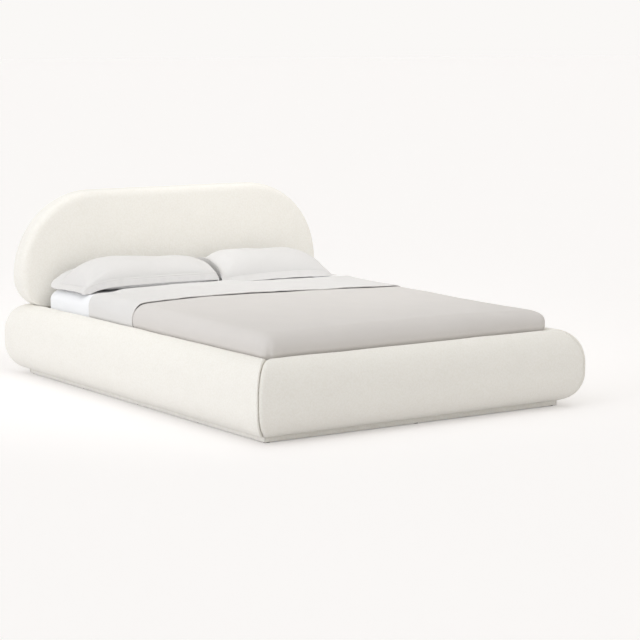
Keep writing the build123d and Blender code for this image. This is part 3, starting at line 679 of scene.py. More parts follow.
class MeshMaker:
    """Gathers grids and strips of faces, and makes one smooth mesh of them."""

    RIM_TURNS = (45, 90, 135)
    RIM_REACH = 0.9

    def __init__(self) -> None:
        """Start empty."""
        self.points: list[Array] = []
        self.cloth: list[Array] = []
        self.faces: list[tuple[int, ...]] = []
        self.count = 0

    def add(self, points: Array, cloth: Array | None = None) -> Array:
        """Add points.

        Args:
            points: The points, in the last axis.
            cloth: Their flat cloth coordinates, or None to use the points.

        Returns:
            Their numbers, in the shape of the points' grid.
        """
        flat = points.reshape(-1, 3)
        self.points.append(flat)
        self.cloth.append(flat if cloth is None else cloth.reshape(-1, 3))
        numbers = np.arange(self.count, self.count + len(flat)).reshape(points.shape[:-1])
        self.count += len(flat)
        return numbers

    def quads(self, *corners: Array) -> None:
        """Add four-sided faces, from the numbers of their first to fourth corners."""
        self.faces.extend(zip(*(part.ravel().tolist() for part in corners)))

    def grid(self, numbers: Array, flip: bool = False) -> None:
        """Add the faces of a grid of point numbers, turned over where flip is set."""
        a, b, c, d = numbers[:-1, :-1], numbers[1:, :-1], numbers[1:, 1:], numbers[:-1, 1:]
        self.quads(*((a, d, c, b) if flip else (a, b, c, d)))

    def strip(self, first: Array, second: Array) -> None:
        """Join two closed rings of points, given by their numbers."""
        self.quads(np.roll(first, -1), first, second, np.roll(second, -1))

    def cap(self, ring: Array) -> None:
        """Close a ring with one face."""
        self.faces.append(tuple(ring.tolist()))

    def hoop(self, rings: list[Array]) -> None:
        """Join rings in a row, the last one to the first."""
        for first, second in zip(rings, rings[1:] + rings[:1]):
            self.strip(first, second)

    def tube(self, rings: Array | list[Array]) -> None:
        """Join rings in a row and close both ends."""
        for first, second in zip(rings[:-1], rings[1:]):
            self.strip(first, second)
        self.cap(rings[0])
        self.cap(rings[-1][::-1])

    def shell(self, outer: Array, inner: Array, cloth: Array | None = None) -> None:
        """Add a closed skin between two grids, with a rounded rim.

        Args:
            outer: Grid of outer points.
            inner: Grid of inner points, the same shape.
            cloth: Flat cloth coordinates of the grid.
        """
        a, b = self.add(outer, cloth), self.add(inner, cloth)
        self.grid(a)
        self.grid(b, flip=True)
        high, low = border(outer), border(inner)
        out = unit(high - border(neighbours(outer)))
        middle, half = (high + low) / 2, (high - low) / 2
        reach = np.linalg.norm(half, axis=1, keepdims=True) * self.RIM_REACH
        flat = None if cloth is None else border(cloth)
        rings = [border(a)]
        for turn in np.radians(self.RIM_TURNS):
            rings.append(self.add(middle + half * math.cos(turn) + out * reach * math.sin(turn), flat))
        rings.append(border(b))
        for first, second in zip(rings[:-1], rings[1:]):
            self.strip(first, second)

    def build(self, name: str) -> Piece:
        """Make the object, its faces turned outwards.

        Args:
            name: The object's name.

        Returns:
            The object, linked into the scene.
        """
        points = np.concatenate(self.points)
        faces = self.faces
        a, b, c, last = (points[[face[k] for face in faces]] for k in (0, 1, 2, -1))
        if np.sum(np.cross(a, b) * c) + np.sum(np.cross(a, c) * last) < 0:
            faces = [tuple(reversed(face)) for face in faces]
        mesh = bpy.data.meshes.new(name)
        mesh.from_pydata(points.tolist(), [], faces)
        mesh.validate()
        flat = mesh.attributes.new("cloth", "FLOAT_VECTOR", "POINT")
        flat.data.foreach_set("vector", np.concatenate(self.cloth).astype(np.float32).ravel())
        mesh.polygons.foreach_set("use_smooth", [True] * len(mesh.polygons))
        mesh.update()
        piece = bpy.data.objects.new(name, mesh)
        bpy.context.scene.collection.objects.link(piece)
        return piece


def cord(name: str, path: Array, out: Array, up: Place, radius: float) -> Piece:
    """Build a closed round cord.

    Args:
        name: The piece's name.
        path: Its middle line, once round.
        out: Direction across it at each point.
        up: The other direction across it, longer than 1 for a flat cord that stands up.
        radius: Its radius.

    Returns:
        The piece.
    """
    maker = MeshMaker()
    turns = np.radians(np.arange(0, 360, 45))
    offsets = [out * math.cos(turn) + np.array(up) * math.sin(turn) for turn in turns]
    maker.hoop([maker.add(path + offset * radius) for offset in offsets])
    return maker.build(name)


# Upholstery


@dataclass(frozen=True)
class HeadboardForm:
    """Outline and edge rounding of the headboard."""

    half: float = 0.89
    low: float = 0.345
    top: float = 0.928
    top_radius: float = 0.425
    low_radius: float = 0.15
    front_edge: float = 0.045
    front_low_edge: float = 0.016
    back_edge: float = 0.085
    front: float = 1.0
    back: float = 1.17
    out_of_reach: float = 9.0

    def underside(self, x: Array, y: Array) -> Array:
        """Height of the soft underside over a place, or a large number beside it.

        Args:
            x: Places across.
            y: Places along.

        Returns:
            Heights.
        """
        rise = 0.0
        for edge, depth in ((self.front_low_edge, y - self.front), (self.back_edge, self.back - y)):
            short = edge - np.clip(depth, 0.0, edge)
            rise = rise + edge - np.sqrt(edge**2 - short**2)
        past = np.abs(x) - (self.half - self.low_radius)
        radius = self.low_radius - rise
        round_part = np.sqrt(np.clip(radius**2 - np.clip(past, 0, None) ** 2, 0, None))
        beside = (past > radius) | (y < self.front) | (y > self.back)
        return np.where(beside, self.out_of_reach, self.low + self.low_radius - round_part)

    def outline(self, inset: float | Array, count: int) -> tuple[Array, Array]:
        """Points round the outline and their outward normals, both as (across, up).

        Args:
            inset: How far inside the outline.
            count: How many points.

        Returns:
            Points and normals.
        """
        low, top = self.low + self.low_radius, self.top - self.top_radius
        feet, turns = [], []
        for side, z, radius, start in (
            (1, low, self.low_radius, -90), (1, top, self.top_radius, 0),
            (-1, top, self.top_radius, 90), (-1, low, self.low_radius, 180),
        ):
            steps = np.radians(np.linspace(start, start + 90, 60))
            turns.append(np.stack([np.cos(steps), np.sin(steps)], axis=1))
            feet.append(np.array([side * (self.half - radius), z]) + turns[-1] * radius)
        points, normals = (np.concatenate([*part, part[0][:1]]) for part in (feet, turns))
        run = np.r_[0, np.cumsum(np.linalg.norm(np.diff(points, axis=0), axis=1))]
        marks = np.linspace(0, run[-1], count, endpoint=False)
        spaced, facing = (
            np.stack([np.interp(marks, run, part[:, k]) for k in (0, 1)], axis=1)
            for part in (points, normals)
        )
        facing = unit(facing)
        return spaced - facing * inset, facing


@dataclass
class Headboard:
    """Tall soft headboard: foam core and a boucle cover with a piped seam round the back."""

    finishes: Finishes
    form: HeadboardForm = HeadboardForm()
    around: int = 400
    middle_rings: int = 22
    edge_rings: int = 16
    skin: float = 3 * MM
    core_gap: float = 0.6 * MM
    belly: float = 6 * MM
    edge_margin: float = 8 * MM
    hollow: float = 2.2 * MM
    waves: Waves = ((0.34, 0.35), (0.11, 0.15))
    seed: int = 41
    piping: float = 3.2 * MM
    piping_sunk: float = 1.5 * MM
    piping_turn: float = 52.0
    low_from: float = 0.2
    low_ease: float = 0.6
    first_share: float = 0.03

    SOFT_SHARES = np.array([0.15, 1.0, 0.3])

    def rings(self, inset: float) -> list[Array]:
        """Rings of points from the middle of the front to the middle of the back.

        Args:
            inset: How far inside the outer surface.

        Returns:
            One array of points for each ring.
        """
        form = self.form
        reach = form.half - form.top_radius
        _, facing = form.outline(0.0, self.around)
        lower = smoothstep((-facing[:, 1:] - self.low_from) / self.low_ease)
        front_edge = form.front_edge + (form.front_low_edge - form.front_edge) * lower
        back_edge = np.full_like(lower, form.back_edge)
        rings = []
        for side, edge, plane, belly in (
            (-1, front_edge, form.front + inset, self.belly), (1, back_edge, form.back - inset, 0.0),
        ):
            rim, _ = form.outline(edge + self.edge_margin, self.around)
            level = np.full(len(rim), form.top - form.top_radius)
            spine = np.stack([np.clip(rim[:, 0], -reach, reach), level], axis=1)
            part = []
            for share in np.linspace(self.first_share, 1, self.middle_rings, endpoint=False):
                part.append((spine + (rim - spine) * share, plane + belly * share**2))
            radius = edge - min(inset, form.front_low_edge - MM)
            for turn in np.radians(np.linspace(90, 0, self.edge_rings)):
                plan, _ = form.outline(inset + radius * (1 - math.cos(turn)), self.around)
                depth = radius[:, 0] * (1 - math.sin(turn))
                part.append((plan, plane - side * depth + belly * math.sin(turn) ** 4))
            rings += [at(plan[:, 0], y, plan[:, 1]) for plan, y in (part if side < 0 else part[::-1])]
        return rings

    def soften(self, points: Array) -> Array:
        """Make a surface slightly uneven, as padding by hand is, and never larger.

        Args:
            points: Rings of points.

        Returns:
            The moved points.
        """
        form = self.form
        inward = np.array([0.0, (form.front + form.back) / 2, (form.low + form.top) / 2]) - points
        inward = unit(inward * self.SOFT_SHARES)
        uneven = np.clip(0.5 + ripple(points, self.seed, self.waves), 0, 1)
        return points + inward * (uneven * self.hollow)[..., None]

    def body(self, name: str, inset: float) -> Piece:
        """Build the closed pad at an inset.

        Args:
            name: The piece's name.
            inset: How far inside the outer surface.

        Returns:
            The piece.
        """
        maker = MeshMaker()
        maker.tube(maker.add(self.soften(np.stack(self.rings(inset)))))
        return maker.build(name)

    def seam(self) -> Piece:
        """Build the piped seam round the back, where the cover closes.

        Returns:
            The piece.
        """
        form, turn = self.form, math.radians(self.piping_turn)
        plan, normal = form.outline(form.back_edge * (1 - math.cos(turn)), self.around)
        y = form.back - form.back_edge * (1 - math.sin(turn)) - self.piping_sunk
        path, out = at(plan[:, 0], y, plan[:, 1]), at(normal[:, 0], 0.0, normal[:, 1])
        return cord("headboard_back_piping", path, out, (0.0, 1.0, 0.0), self.piping)

    def build(self) -> None:
        """Build and report the cover, its piping and the foam core."""
        report = self.finishes.report
        cover = report(self.body("headboard_upholstery", 0.0), Slot.BOUCLE, Body.BASE)
        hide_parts("headboard_cover")
        core = report(self.body("headboard_padding", self.skin + self.core_gap), Slot.FOAM, Body.BASE)
        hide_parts("headboard_foam")
        report(self.seam(), Slot.BOUCLE, Body.BASE)


@dataclass(frozen=True)
class Side:
    """One of the bed's four sides, along which a rail and a plinth timber run."""

    name: str
    half: float
    along: float
    lengthwise: bool
    sign: int
    end_reach: float
    end_depth: float
    seed: int

    def place(self, across: Array | float, along: Array, up: Array | float) -> Array:
        """Places on the bed from distances out from its middle, along the side and up."""
        out = self.sign * across
        return at(out, along, up) if self.lengthwise else at(along, out, up)


@dataclass
class Rail:
    """One padded rail: foam over a board and a boucle cover, cut at 45 degrees at its ends."""

    finishes: Finishes
    side: Side
    headboard: HeadboardForm = HeadboardForm()
    thickness: float = 0.13
    foot_inset: float = 0.094
    crest_inset: float = 0.1
    height: float = 0.36
    low: float = 0.0272
    belly_low: float = 0.162
    belly_high: float = 0.208
    lip_drop: float = 0.098
    board_out: float = 0.105
    board_top: float = 0.3186
    skin: float = 2.6 * MM
    gap: float = 2.2 * MM
    tuck: float = 28 * MM
    cover_step: float = 11 * MM
    foam_step: float = 60 * MM
    waves: Waves = ((0.3, 0.9 * MM), (0.09, 0.35 * MM))
    pucker: float = 0.7 * MM
    pucker_reach: float = 18 * MM
    pucker_pitch: float = 21 * MM
    seat_gap: float = 0.8 * MM
    staple_pitch: float = 55 * MM
    staple_depth: float = 1.5 * MM
    staple_rise: float = 8 * MM
    staple_sunk: float = 0.35 * MM
    staple_end: float = 60 * MM
    staple_clear: float = 40 * MM
    inner_strip: float = 20 * MM
    behind_start: float = 14 * MM
    behind_ease: float = 10 * MM
    behind_drop: float = 8 * MM
    foam_gap: float = 1.0 * MM
    board_gap: float = 0.6 * MM
    end_part: float = 0.1
    pucker_drift: float = 2.0
    pucker_drift_pitch: float = 31.0

    NEAR_END = np.array([0.0, 0.0, 1.0, 2.5, 4.5, 7.0, 10.0, 14.0, 19.0, 25.0, 32.0, 41.0, 52.0]) * MM
    CUT_TURNS = np.array([94.0, 98.0])
    STAPLE = np.array([(-6, -0.35), (-6, 0.35), (6, 0.35), (6, -0.35)]) * MM

    def section(self, lip: bool) -> Array:
        """The rail's section from its underside over the crest.

        Args:
            lip: Whether the cover turns down on the inner side.

        Returns:
            Rows of across, up, normal across, normal up and how free the surface is.
        """
        def line(a: object, z: object, normal: tuple[object, object], free: object) -> Array:
            """Rows of a straight or listed stretch."""
            return np.stack(np.broadcast_arrays(a, z, *normal, free), axis=1)

        def arc(a: float, z: float, wide: float, high: float, degrees: Array, free: object) -> Array:
            """Rows of a round stretch about a centre, with a radius across and one up."""
            c, s = np.cos(np.radians(degrees)), np.sin(np.radians(degrees))
            return line(a + wide * c, z + high * s, (c, s), free)

        half = self.side.half
        foot, crest = half - self.foot_inset, half - self.crest_inset
        lip_r = self.thickness - self.crest_inset
        below, above = self.belly_low - self.low, self.height - self.belly_high
        inner_z = self.height - lip_r
        under = np.linspace(-90, 0, 30)
        over = np.linspace(90, 180, 9)[1:] if lip else self.CUT_TURNS
        rows = [
            line(np.linspace(half - self.board_out + MM, foot, 3)[:-1], self.low, (0.0, -1.0), 0.0),
            arc(foot, self.belly_low, self.foot_inset, below, under, smoothstep((under + 90) / 30)),
            line(half, np.linspace(self.belly_low, self.belly_high, 10)[1:-1], (1.0, 0.0), 1.0),
            arc(crest, self.belly_high, self.crest_inset, above, np.linspace(0, 90, 32), 1.0),
            arc(crest, inner_z, lip_r, lip_r, over, smoothstep((150 - over) / 60)),
        ]
        if lip:
            down = np.linspace(inner_z, self.height - self.lip_drop, 9)[1:]
            rows.append(line(half - self.thickness, down, (-1.0, 0.0), 0.0))
        return np.concatenate(rows)

    def surface(self, rows: Array, inset: float, step: float) -> Array:
        """Sweep the section along the rail, with rounded ends and a hand-made unevenness.

        Args:
            rows: The section.
            inset: How far inside the outer surface.
            step: Usual distance between rows of points.

        Returns:
            Grid of points in the bed's frame.
        """
        side, near = self.side, self.NEAR_END
        a, z, na, nz, free = (rows[:, k][:, None] for k in range(5))
        fall = side.end_depth * (1 - np.sqrt(1 - (1 - np.clip(near / side.end_reach, 0, 1)) ** 2))
        fall[0] += self.tuck
        middle = np.linspace(0, 1, int(2 * (side.along - near[-1] - self.end_part) / step))[1:-1]
        distance = np.concatenate([near, np.ones(len(middle)), near[::-1]])
        down = inset + np.concatenate([fall, np.zeros(len(middle)), fall[::-1]]) * free
        out, up = a - na * down, z - nz * down
        limit = side.along - (side.half - out) - self.gap
        left, right = near - limit[:, : len(near)], limit[:, -len(near):] - near[::-1]
        between = left[:, -1:] + (right[:, :1] - left[:, -1:]) * middle
        t = np.concatenate([left, between, right], axis=1)
        run = np.cumsum(np.r_[0, np.hypot(np.diff(rows[:, 0]), np.diff(rows[:, 1]))])[:, None]
        uneven = ripple(at(out, t, up), side.seed, self.waves) - self.waves[0][1]
        drift = self.pucker_drift * np.sin(run * self.pucker_drift_pitch)
        tufts = np.cos(run * math.tau / self.pucker_pitch + drift) - 1
        move = (uneven + np.exp(-distance / self.pucker_reach) * tufts * self.pucker) * free
        return self.seat_headboard(side.place(out + na * move, t, up + nz * move), rows, inset)

    def seat_headboard(self, grid: Array, rows: Array, inset: float) -> Array:
        """Press the padding down where the headboard stands on it.

        Args:
            grid: The swept grid.
            rows: The section.
            inset: How far inside the outer surface.

        Returns:
            The pressed grid.
        """
        form, z = self.headboard, grid[..., 2]
        under = form.underside(grid[..., 0], grid[..., 1]) - self.seat_gap - inset
        upper = rows[:, 1][:, None] > self.belly_high
        z = np.where(upper & (z > under), under, z)
        inner = rows[:, 0][:, None] < self.side.half - self.thickness + self.inner_strip
        behind = smoothstep((grid[..., 1] - form.front + self.behind_start) / self.behind_ease)
        raised = np.maximum(z, (form.low - self.behind_drop) * behind)
        grid[..., 2] = np.where(inner & upper & (behind > 0), raised, z)
        return grid

    def cover(self) -> Piece:
        """Build the boucle cover as a thin closed skin.

        Returns:
            The piece.
        """
        rows = self.section(lip=self.side.name != "head")
        maker = MeshMaker()
        maker.shell(*(self.surface(rows, inset, self.cover_step) for inset in (0.0, self.skin)))
        return maker.build(f"rail_{self.side.name}_upholstery")

    def padding(self) -> Piece:
        """Build the foam jacket round the board.

        Returns:
            The piece.
        """
        inset = self.skin + self.foam_gap
        inner = self.side.half - self.thickness + inset
        board = self.side.half - self.board_out + self.board_gap
        corners = ((inner, self.board_top), (board, self.board_top), (board, self.low + inset))
        back = np.array([(*corner, 0.0, 0.0, 0.0) for corner in corners])
        jacket = self.surface(self.section(lip=True)[:-7], inset, self.foam_step)
        loop = np.concatenate([jacket, self.surface(back, 0.0, self.foam_step)])
        maker = MeshMaker()
        maker.tube(maker.add(loop).T)
        return maker.build(f"rail_{self.side.name}_padding")

    def staples(self) -> Piece:
        """Build the staples that hold the cover's lip to the board.

        Returns:
            The piece.
        """
        side, maker = self.side, MeshMaker()
        z = self.height - self.lip_drop + self.staple_rise
        face = side.half - self.thickness - self.staple_sunk
        end = side.along - self.thickness - self.staple_end
        stop = min(end, self.headboard.front - self.staple_clear) if side.lengthwise else end
        for t in np.arange(-end, stop, self.staple_pitch):
            along, up = t + self.STAPLE[:, 0], z + self.STAPLE[:, 1]
            maker.tube([maker.add(side.place(face + depth, along, up)) for depth in (0.0, self.staple_depth)])
        return maker.build(f"rail_{side.name}_staples")

    def build(self) -> None:
        """Build and report the cover, the foam and the staples."""
        report, name = self.finishes.report, self.side.name
        cover = report(self.cover(), Slot.BOUCLE, Body.BASE)
        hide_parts(f"rail_{name}_cover")
        foam = report(self.padding(), Slot.FOAM, Body.BASE)
        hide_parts(f"rail_{name}_foam")
        if name != "head":
            report(self.staples(), Slot.ZINC, Body.BASE)


@dataclass
class PlinthTimber:
    """One plinth timber wrapped in the boucle, mitred into its neighbours."""

    finishes: Finishes
    side: Side
    inset: float = 0.097
    width: float = 0.046
    low: float = 0.0032
    top: float = 0.0268
    edge: float = 3.5 * MM
    rows: int = 161
    mitre_gap: float = 0.1 * MM
    sunk: float = 0.5 * MM
    waves: Waves = ((0.12, 0.4 * MM),)
    seed: int = 77

    def build(self) -> None:
        """Build and report the wrapped timber."""
        side, edge = self.side, self.edge
        outer, inner = side.half - self.inset, side.half - self.inset - self.width
        section = []
        for a, z, start in (
            (outer - edge, self.low + edge, -90), (outer - edge, self.top - edge, 0),
            (inner + edge, self.top - edge, 90), (inner + edge, self.low + edge, 180),
        ):
            for turn in np.radians(np.linspace(start, start + 90, 5)):
                section.append((a + edge * math.cos(turn), z + edge * math.sin(turn)))
        a, z = (part[:, None] for part in np.array(section).T)
        t = (side.along - (side.half - a) - self.mitre_gap) * np.linspace(-1, 1, self.rows)
        uneven = ripple(at(a, t, z), self.seed, self.waves) - self.sunk
        out = a + np.sign(a - (outer + inner) / 2) * uneven
        maker = MeshMaker()
        maker.tube(maker.add(side.place(out, t, z)).T)
        piece = self.finishes.report(maker.build(f"plinth_{side.name}_wrapped"), Slot.BOUCLE, Body.BASE)
        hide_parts(f"plinth_{side.name}")


@dataclass
class Base:
    """Rails, plinth and headboard."""

    finishes: Finishes
    half_w: float = 0.902
    half_l: float = 1.21
    long_end: tuple[float, float] = (9 * MM, 12 * MM)
    cross_end: tuple[float, float] = (36 * MM, 15 * MM)

    def build(self) -> None:
        """Build all soft pieces of the base."""
        for side in (
            Side("left", self.half_w, self.half_l, True, -1, *self.long_end, 11),
            Side("right", self.half_w, self.half_l, True, 1, *self.long_end, 12),
            Side("foot", self.half_l, self.half_w, False, -1, *self.cross_end, 13),
            Side("head", self.half_l, self.half_w, False, 1, *self.cross_end, 14),
        ):
            Rail(self.finishes, side).build()
            PlinthTimber(self.finishes, side).build()
        Headboard(self.finishes).build()


# Bedding


@dataclass(frozen=True)
class BedTop:
    """Height of the made-up bed's top and how it settles, shared by all layers."""

    mattress_foot: float = -1.062
    mattress_head: float = 0.978
    half: float = 0.762
    top: float = 0.448
    platform: float = 0.245
    fold: float = 0.079
    roll: float = 0.066
    corner: float = 0.084
    hem: float = 40 * MM
    crown: float = 9 * MM
    plump: float = 13 * MM
    settled: float = 7 * MM
    belly: float = 8 * MM
    settle_x: float = -0.3
    settle_y: float = 0.4
    settle_ease: float = 1.1
    plump_x: float = -0.33
    plump_reach: float = 0.52
    plump_y: float = -0.75
    plump_ease: float = 0.75
    skew: float = 0.052
    skew_x: float = -0.77
    skew_span: float = 1.54
    fold_wave: float = 0.006
    fold_wave_x: float = -0.2
    fold_wave_pitch: float = 4.1
    tuck_start: float = 10 * MM
    tuck_ease: float = 14 * MM
    top_fade: float = 4.0

    def on_top(self, hang: Array) -> Array:
        """How much a place belongs to the bed's top, 1 there and 0 down its sides."""
        return smoothstep(1 - hang * self.top_fade)

    def settle(self, x: Array, y: Array) -> Array:
        """How far the bed's top is pressed down towards its right foot corner, never above 0."""
        right, foot = (x - self.settle_x) / self.settle_ease, (self.settle_y - y) / self.settle_ease
        return -self.settled * smoothstep(right) * smoothstep(foot)

    def rise(self, x: Array, y: Array, half: float) -> Array:
        """Extra height of the duvet: domed, and plumped up near its fold.

        Args:
            x: Places across.
            y: Places along.
            half: Half width of the layer.

        Returns:
            Heights over the layer's own thickness.
        """
        plump = self.plump * bell(x - self.plump_x, self.plump_reach)
        plump = plump * smoothstep((y - self.plump_y) / self.plump_ease)
        return self.crown * (1 - (x / half) ** 2) + plump + self.settle(x, y)

    def fold_y(self, x: Array) -> Array:
        """Where the turned-back band ends, a little askew as it lies by hand."""
        skew = self.skew * (x - self.skew_x) / self.skew_span
        return self.fold - skew - self.fold_wave * np.sin((x - self.fold_wave_x) * self.fold_wave_pitch)

    def tucked(self, x: Array, y: Array) -> Array:
        """How far a place of the duvet lies under the turned-back band, 0 to 1."""
        return smoothstep((y - self.fold_y(x) + self.tuck_start) / self.tuck_ease)


@dataclass
class Drape:
    """A layer that covers the mattress: its top, rolled edges, round corners and drop."""

    half: float
    foot: float
    head: float
    top: float
    hem: float
    roll: float
    corner: float
    round_head: bool
    round_foot: bool = True
    step: float = 13 * MM
    roll_head: float | None = None
    square_head: float = 0.0
    square_foot: float = 0.0
    belly_side: float = 0.0
    belly_foot: float = 0.0
    belly_z: float = 0.345
    belly_ease: float = 22 * MM
    roll_start: float = 0.1
    fine_share: float = 0.6
    endless: float = 9.0

    def profile(self, reach: Array, v: Array, belly: Array) -> tuple[Array, Array]:
        """Outward distance and drop for a distance along the cloth past the flat part.

        Args:
            reach: Distances along the cloth.
            v: Places along the bed.
            belly: How far the hanging part swells out.

        Returns:
            Outward distances and drops.
        """
        head = self.roll if self.roll_head is None else self.roll_head
        eased = (v - self.foot - self.roll_start) / (self.head - self.foot - self.roll_start)
        roll = self.roll + (head - self.roll) * smoothstep(eased)
        reach = reach * (self.corner + self.top - self.hem - roll * (2 - math.pi / 2)) / self.length()
        flat = self.corner - roll
        turn = np.clip((reach - flat) / roll, 0, math.pi / 2)
        drop = roll * (1 - np.cos(turn)) + np.clip(reach - flat - roll * math.pi / 2, 0, None)
        hanging = smoothstep((self.top - drop - self.belly_z) / self.belly_ease)
        full = hanging * smoothstep(reach / self.corner)
        return np.minimum(reach, flat) + roll * np.sin(turn) + belly * full, drop

    def length(self) -> float:
        """Length of cloth from the flat part to the hem."""
        return self.corner - self.roll + self.roll * math.pi / 2 + self.top - self.roll - self.hem

    def stations(self) -> tuple[Array, Array]:
        """Places of the cloth's rows, across and along, as flat cloth coordinates."""
        reach = self.length()
        fine = np.linspace(0, reach, max(8, int(reach / (self.step * self.fine_share))))[1:]
        inner = self.half - self.corner
        flat = np.linspace(-inner, inner, int(2 * inner / self.step))
        low = self.foot + (self.corner if self.round_foot else 0.0)
        high = self.head - (self.corner if self.round_head else 0.0)
        along = np.linspace(low, high, int((high - low) / self.step))
        if self.round_foot:
            along = np.concatenate([low - fine[::-1], along])
        if self.round_head:
            along = np.concatenate([along, high + fine])
        return np.concatenate([-inner - fine[::-1], flat, inner + fine]), along

    def place(self) -> tuple[Array, Array, Array]:
        """Lay the cloth over the mattress.

        Returns:
            Grid of points, their flat cloth coordinates and how far each hangs down its side.
        """
        u, v = np.meshgrid(*self.stations(), indexing="ij")
        inner = self.half - self.corner
        low = self.foot + (self.corner if self.round_foot else -self.endless)
        high = self.head - (self.corner if self.round_head else -self.endless)
        past_u = np.clip(np.abs(u) - inner, 0, None)
        past_v = np.clip(low - v, 0, None) + np.clip(v - high, 0, None)
        reach = np.maximum(past_u, past_v)
        ratio = np.minimum(past_u, past_v) / (reach + NO_LENGTH) * math.pi / 4
        angle = np.where(past_u >= past_v, ratio, math.pi / 2 - ratio)
        belly = self.belly_side + (self.belly_foot - self.belly_side) * np.sin(angle) ** 2
        out, drop = self.profile(reach, v, belly)
        square = np.where(v > (low + high) / 2, self.square_head, self.square_foot)
        out = out * (1 + square * np.sin(2 * angle) ** 2)
        x = np.sign(u) * (np.clip(np.abs(u), None, inner) + out * np.cos(angle) * (past_u > 0))
        y = np.clip(v, low, high) + np.where(v < low, -1, 1) * out * np.sin(angle) * (past_v > 0)
        return at(x, y, self.top - drop), at(u, v, 0.0), drop / (self.top - self.hem)


@dataclass
class Mattress:
    """Mattress with a tape edge, and the fitted sheet drawn over it."""

    finishes: Finishes
    bed: BedTop = BedTop()
    inset: float = 1.7 * MM
    sheet: float = 1.1 * MM
    roll: float = 52 * MM
    roll_head: float = 58 * MM
    corner: float = 75 * MM
    square_head: float = 0.22
    drawn_in: float = 6 * MM
    tape: float = 3.4 * MM
    tape_sunk: float = 2.6 * MM
    pull: float = 1.6 * MM
    pull_reach: float = 0.17
    gather: float = 0.3 * MM
    waves: Waves = ((0.16, 0.8 * MM),)
    seed: int = 51
    settle_z: float = 0.385
    settle_ease: float = 0.04
    settle_share: float = 1.2
    sheet_gap: float = 0.3 * MM
    seat_gap: float = 0.6 * MM
    core_hem: float = 10 * MM
    tape_hem: float = 12 * MM
    sheet_hem: float = 20 * MM
    tape_step: float = 0.01 * MM
    bare_from: float = 0.53
    bare_ease: float = 0.05
    drawn_range: tuple[float, float] = (-0.2 * MM, 2.5 * MM)
    snug: float = 0.4 * MM
    inside_drop: float = 0.1
    tape_stands: float = 1.5
    pull_pitch: tuple[float, float] = (95.0, 40.0)
    bare_hang: tuple[float, float] = (3.0, 0.25)
    gather_pitch: tuple[float, float] = (300.0, 340.0)
    gather_from: float = 0.72
    gather_ease: float = 0.28

    WAIST_SHARES = np.array([0.35, 0.35, -0.25])

    def layer(self, inset: float, hem: float) -> Drape:
        """The mattress's outer form at an inset.

        Args:
            inset: How far inside the sheet's outer surface.
            hem: Height of the lower edge over the platform.

        Returns:
            The drape.
        """
        bed = self.bed
        return Drape(
            bed.half - inset, bed.mattress_foot + inset, bed.mattress_head - inset, bed.top - inset,
            bed.platform + hem, self.roll - inset, self.corner - inset, round_head=True,
            roll_head=self.roll_head - inset, square_head=self.square_head,
        )

    def laid(self, inset: float, hem: float) -> tuple[Array, Array, Array]:
        """The outer form at an inset, pressed down where the bed's top is.

        Args:
            inset: How far inside the sheet's outer surface.
            hem: Height of the lower edge over the platform.

        Returns:
            Grid of points, their flat coordinates and how far each hangs down.
        """
        points, cloth, hang = self.layer(inset, hem).place()
        upper = smoothstep((points[..., 2] - self.settle_z) / self.settle_ease)
        points[..., 2] += self.settle_share * self.bed.settle(points[..., 0], points[..., 1]) * upper
        return points, cloth, hang

    def core(self) -> Piece:
        """Build the mattress itself.

        Returns:
            The piece.
        """
        bed, maker = self.bed, MeshMaker()
        points, cloth, _ = self.laid(self.inset + self.sheet_gap, self.core_hem)
        edge, flat = border(points), border(cloth)
        centre = np.array([0.0, (bed.mattress_foot + bed.mattress_head) / 2])
        plan = centre + (edge[:, :2] - centre) * (1 - self.drawn_in / bed.half)
        ring = at(plan[:, 0], plan[:, 1], bed.platform + self.seat_gap)
        top = maker.add(points, cloth)
        maker.grid(top)
        middle = maker.add((edge + ring) / 2 + (edge - ring) * self.WAIST_SHARES, flat)
        low = maker.add(ring, flat)
        maker.strip(border(top), middle)
        maker.strip(middle, low)
        maker.cap(low)
        return maker.build("mattress_body")

    def piping(self) -> Piece:
        """Build the tape edge round the mattress's foot.

        Returns:
            The piece.
        """
        points, _, _ = self.layer(self.inset + self.tape_sunk, self.tape_hem).place()
        ring = border(points)
        ring = ring[np.r_[True, np.linalg.norm(np.diff(ring, axis=0), axis=1) > self.tape_step]]
        along = np.roll(ring, 1, axis=0) - np.roll(ring, -1, axis=0)
        out = unit(at(-along[:, 1], along[:, 0], 0.0))
        return cord("mattress_tape_edge", ring, out, (0.0, 0.0, self.tape_stands), self.tape)

    def fitted_sheet(self) -> Piece:
        """Build the fitted sheet with drawn corners and a gathered hem.

        Returns:
            The piece.
        """
        bed = self.bed
        points, cloth, hang = self.laid(0.0, self.sheet_hem)
        x, y, z = np.moveaxis(points, -1, 0)
        inside = (0.0, (bed.mattress_foot + bed.mattress_head) / 2, bed.top - self.inside_drop)
        normals = grid_normals(points, inside)
        corner = np.hypot(bed.half - np.abs(x), np.abs(y - bed.mattress_head))
        up, across = self.pull_pitch
        pull = self.pull * bell(corner, self.pull_reach) * np.sin(z * up + x * across)
        steep, start = self.bare_hang
        bare = smoothstep((y - self.bare_from) / self.bare_ease) * smoothstep(hang * steep + start)
        drawn = (ripple(points, self.seed, self.waves) + pull) * bare
        across, along = self.gather_pitch
        gather = np.sin(cloth[..., 0] * across + cloth[..., 1] * along)
        gather = gather * smoothstep((hang - self.gather_from) / self.gather_ease)
        move = np.clip(drawn, *self.drawn_range) + gather * self.gather - self.snug
        outer = points + normals * move[..., None]
        maker = MeshMaker()
        maker.shell(outer, outer - normals * self.sheet, cloth)
        return maker.build("fitted_sheet_cloth")

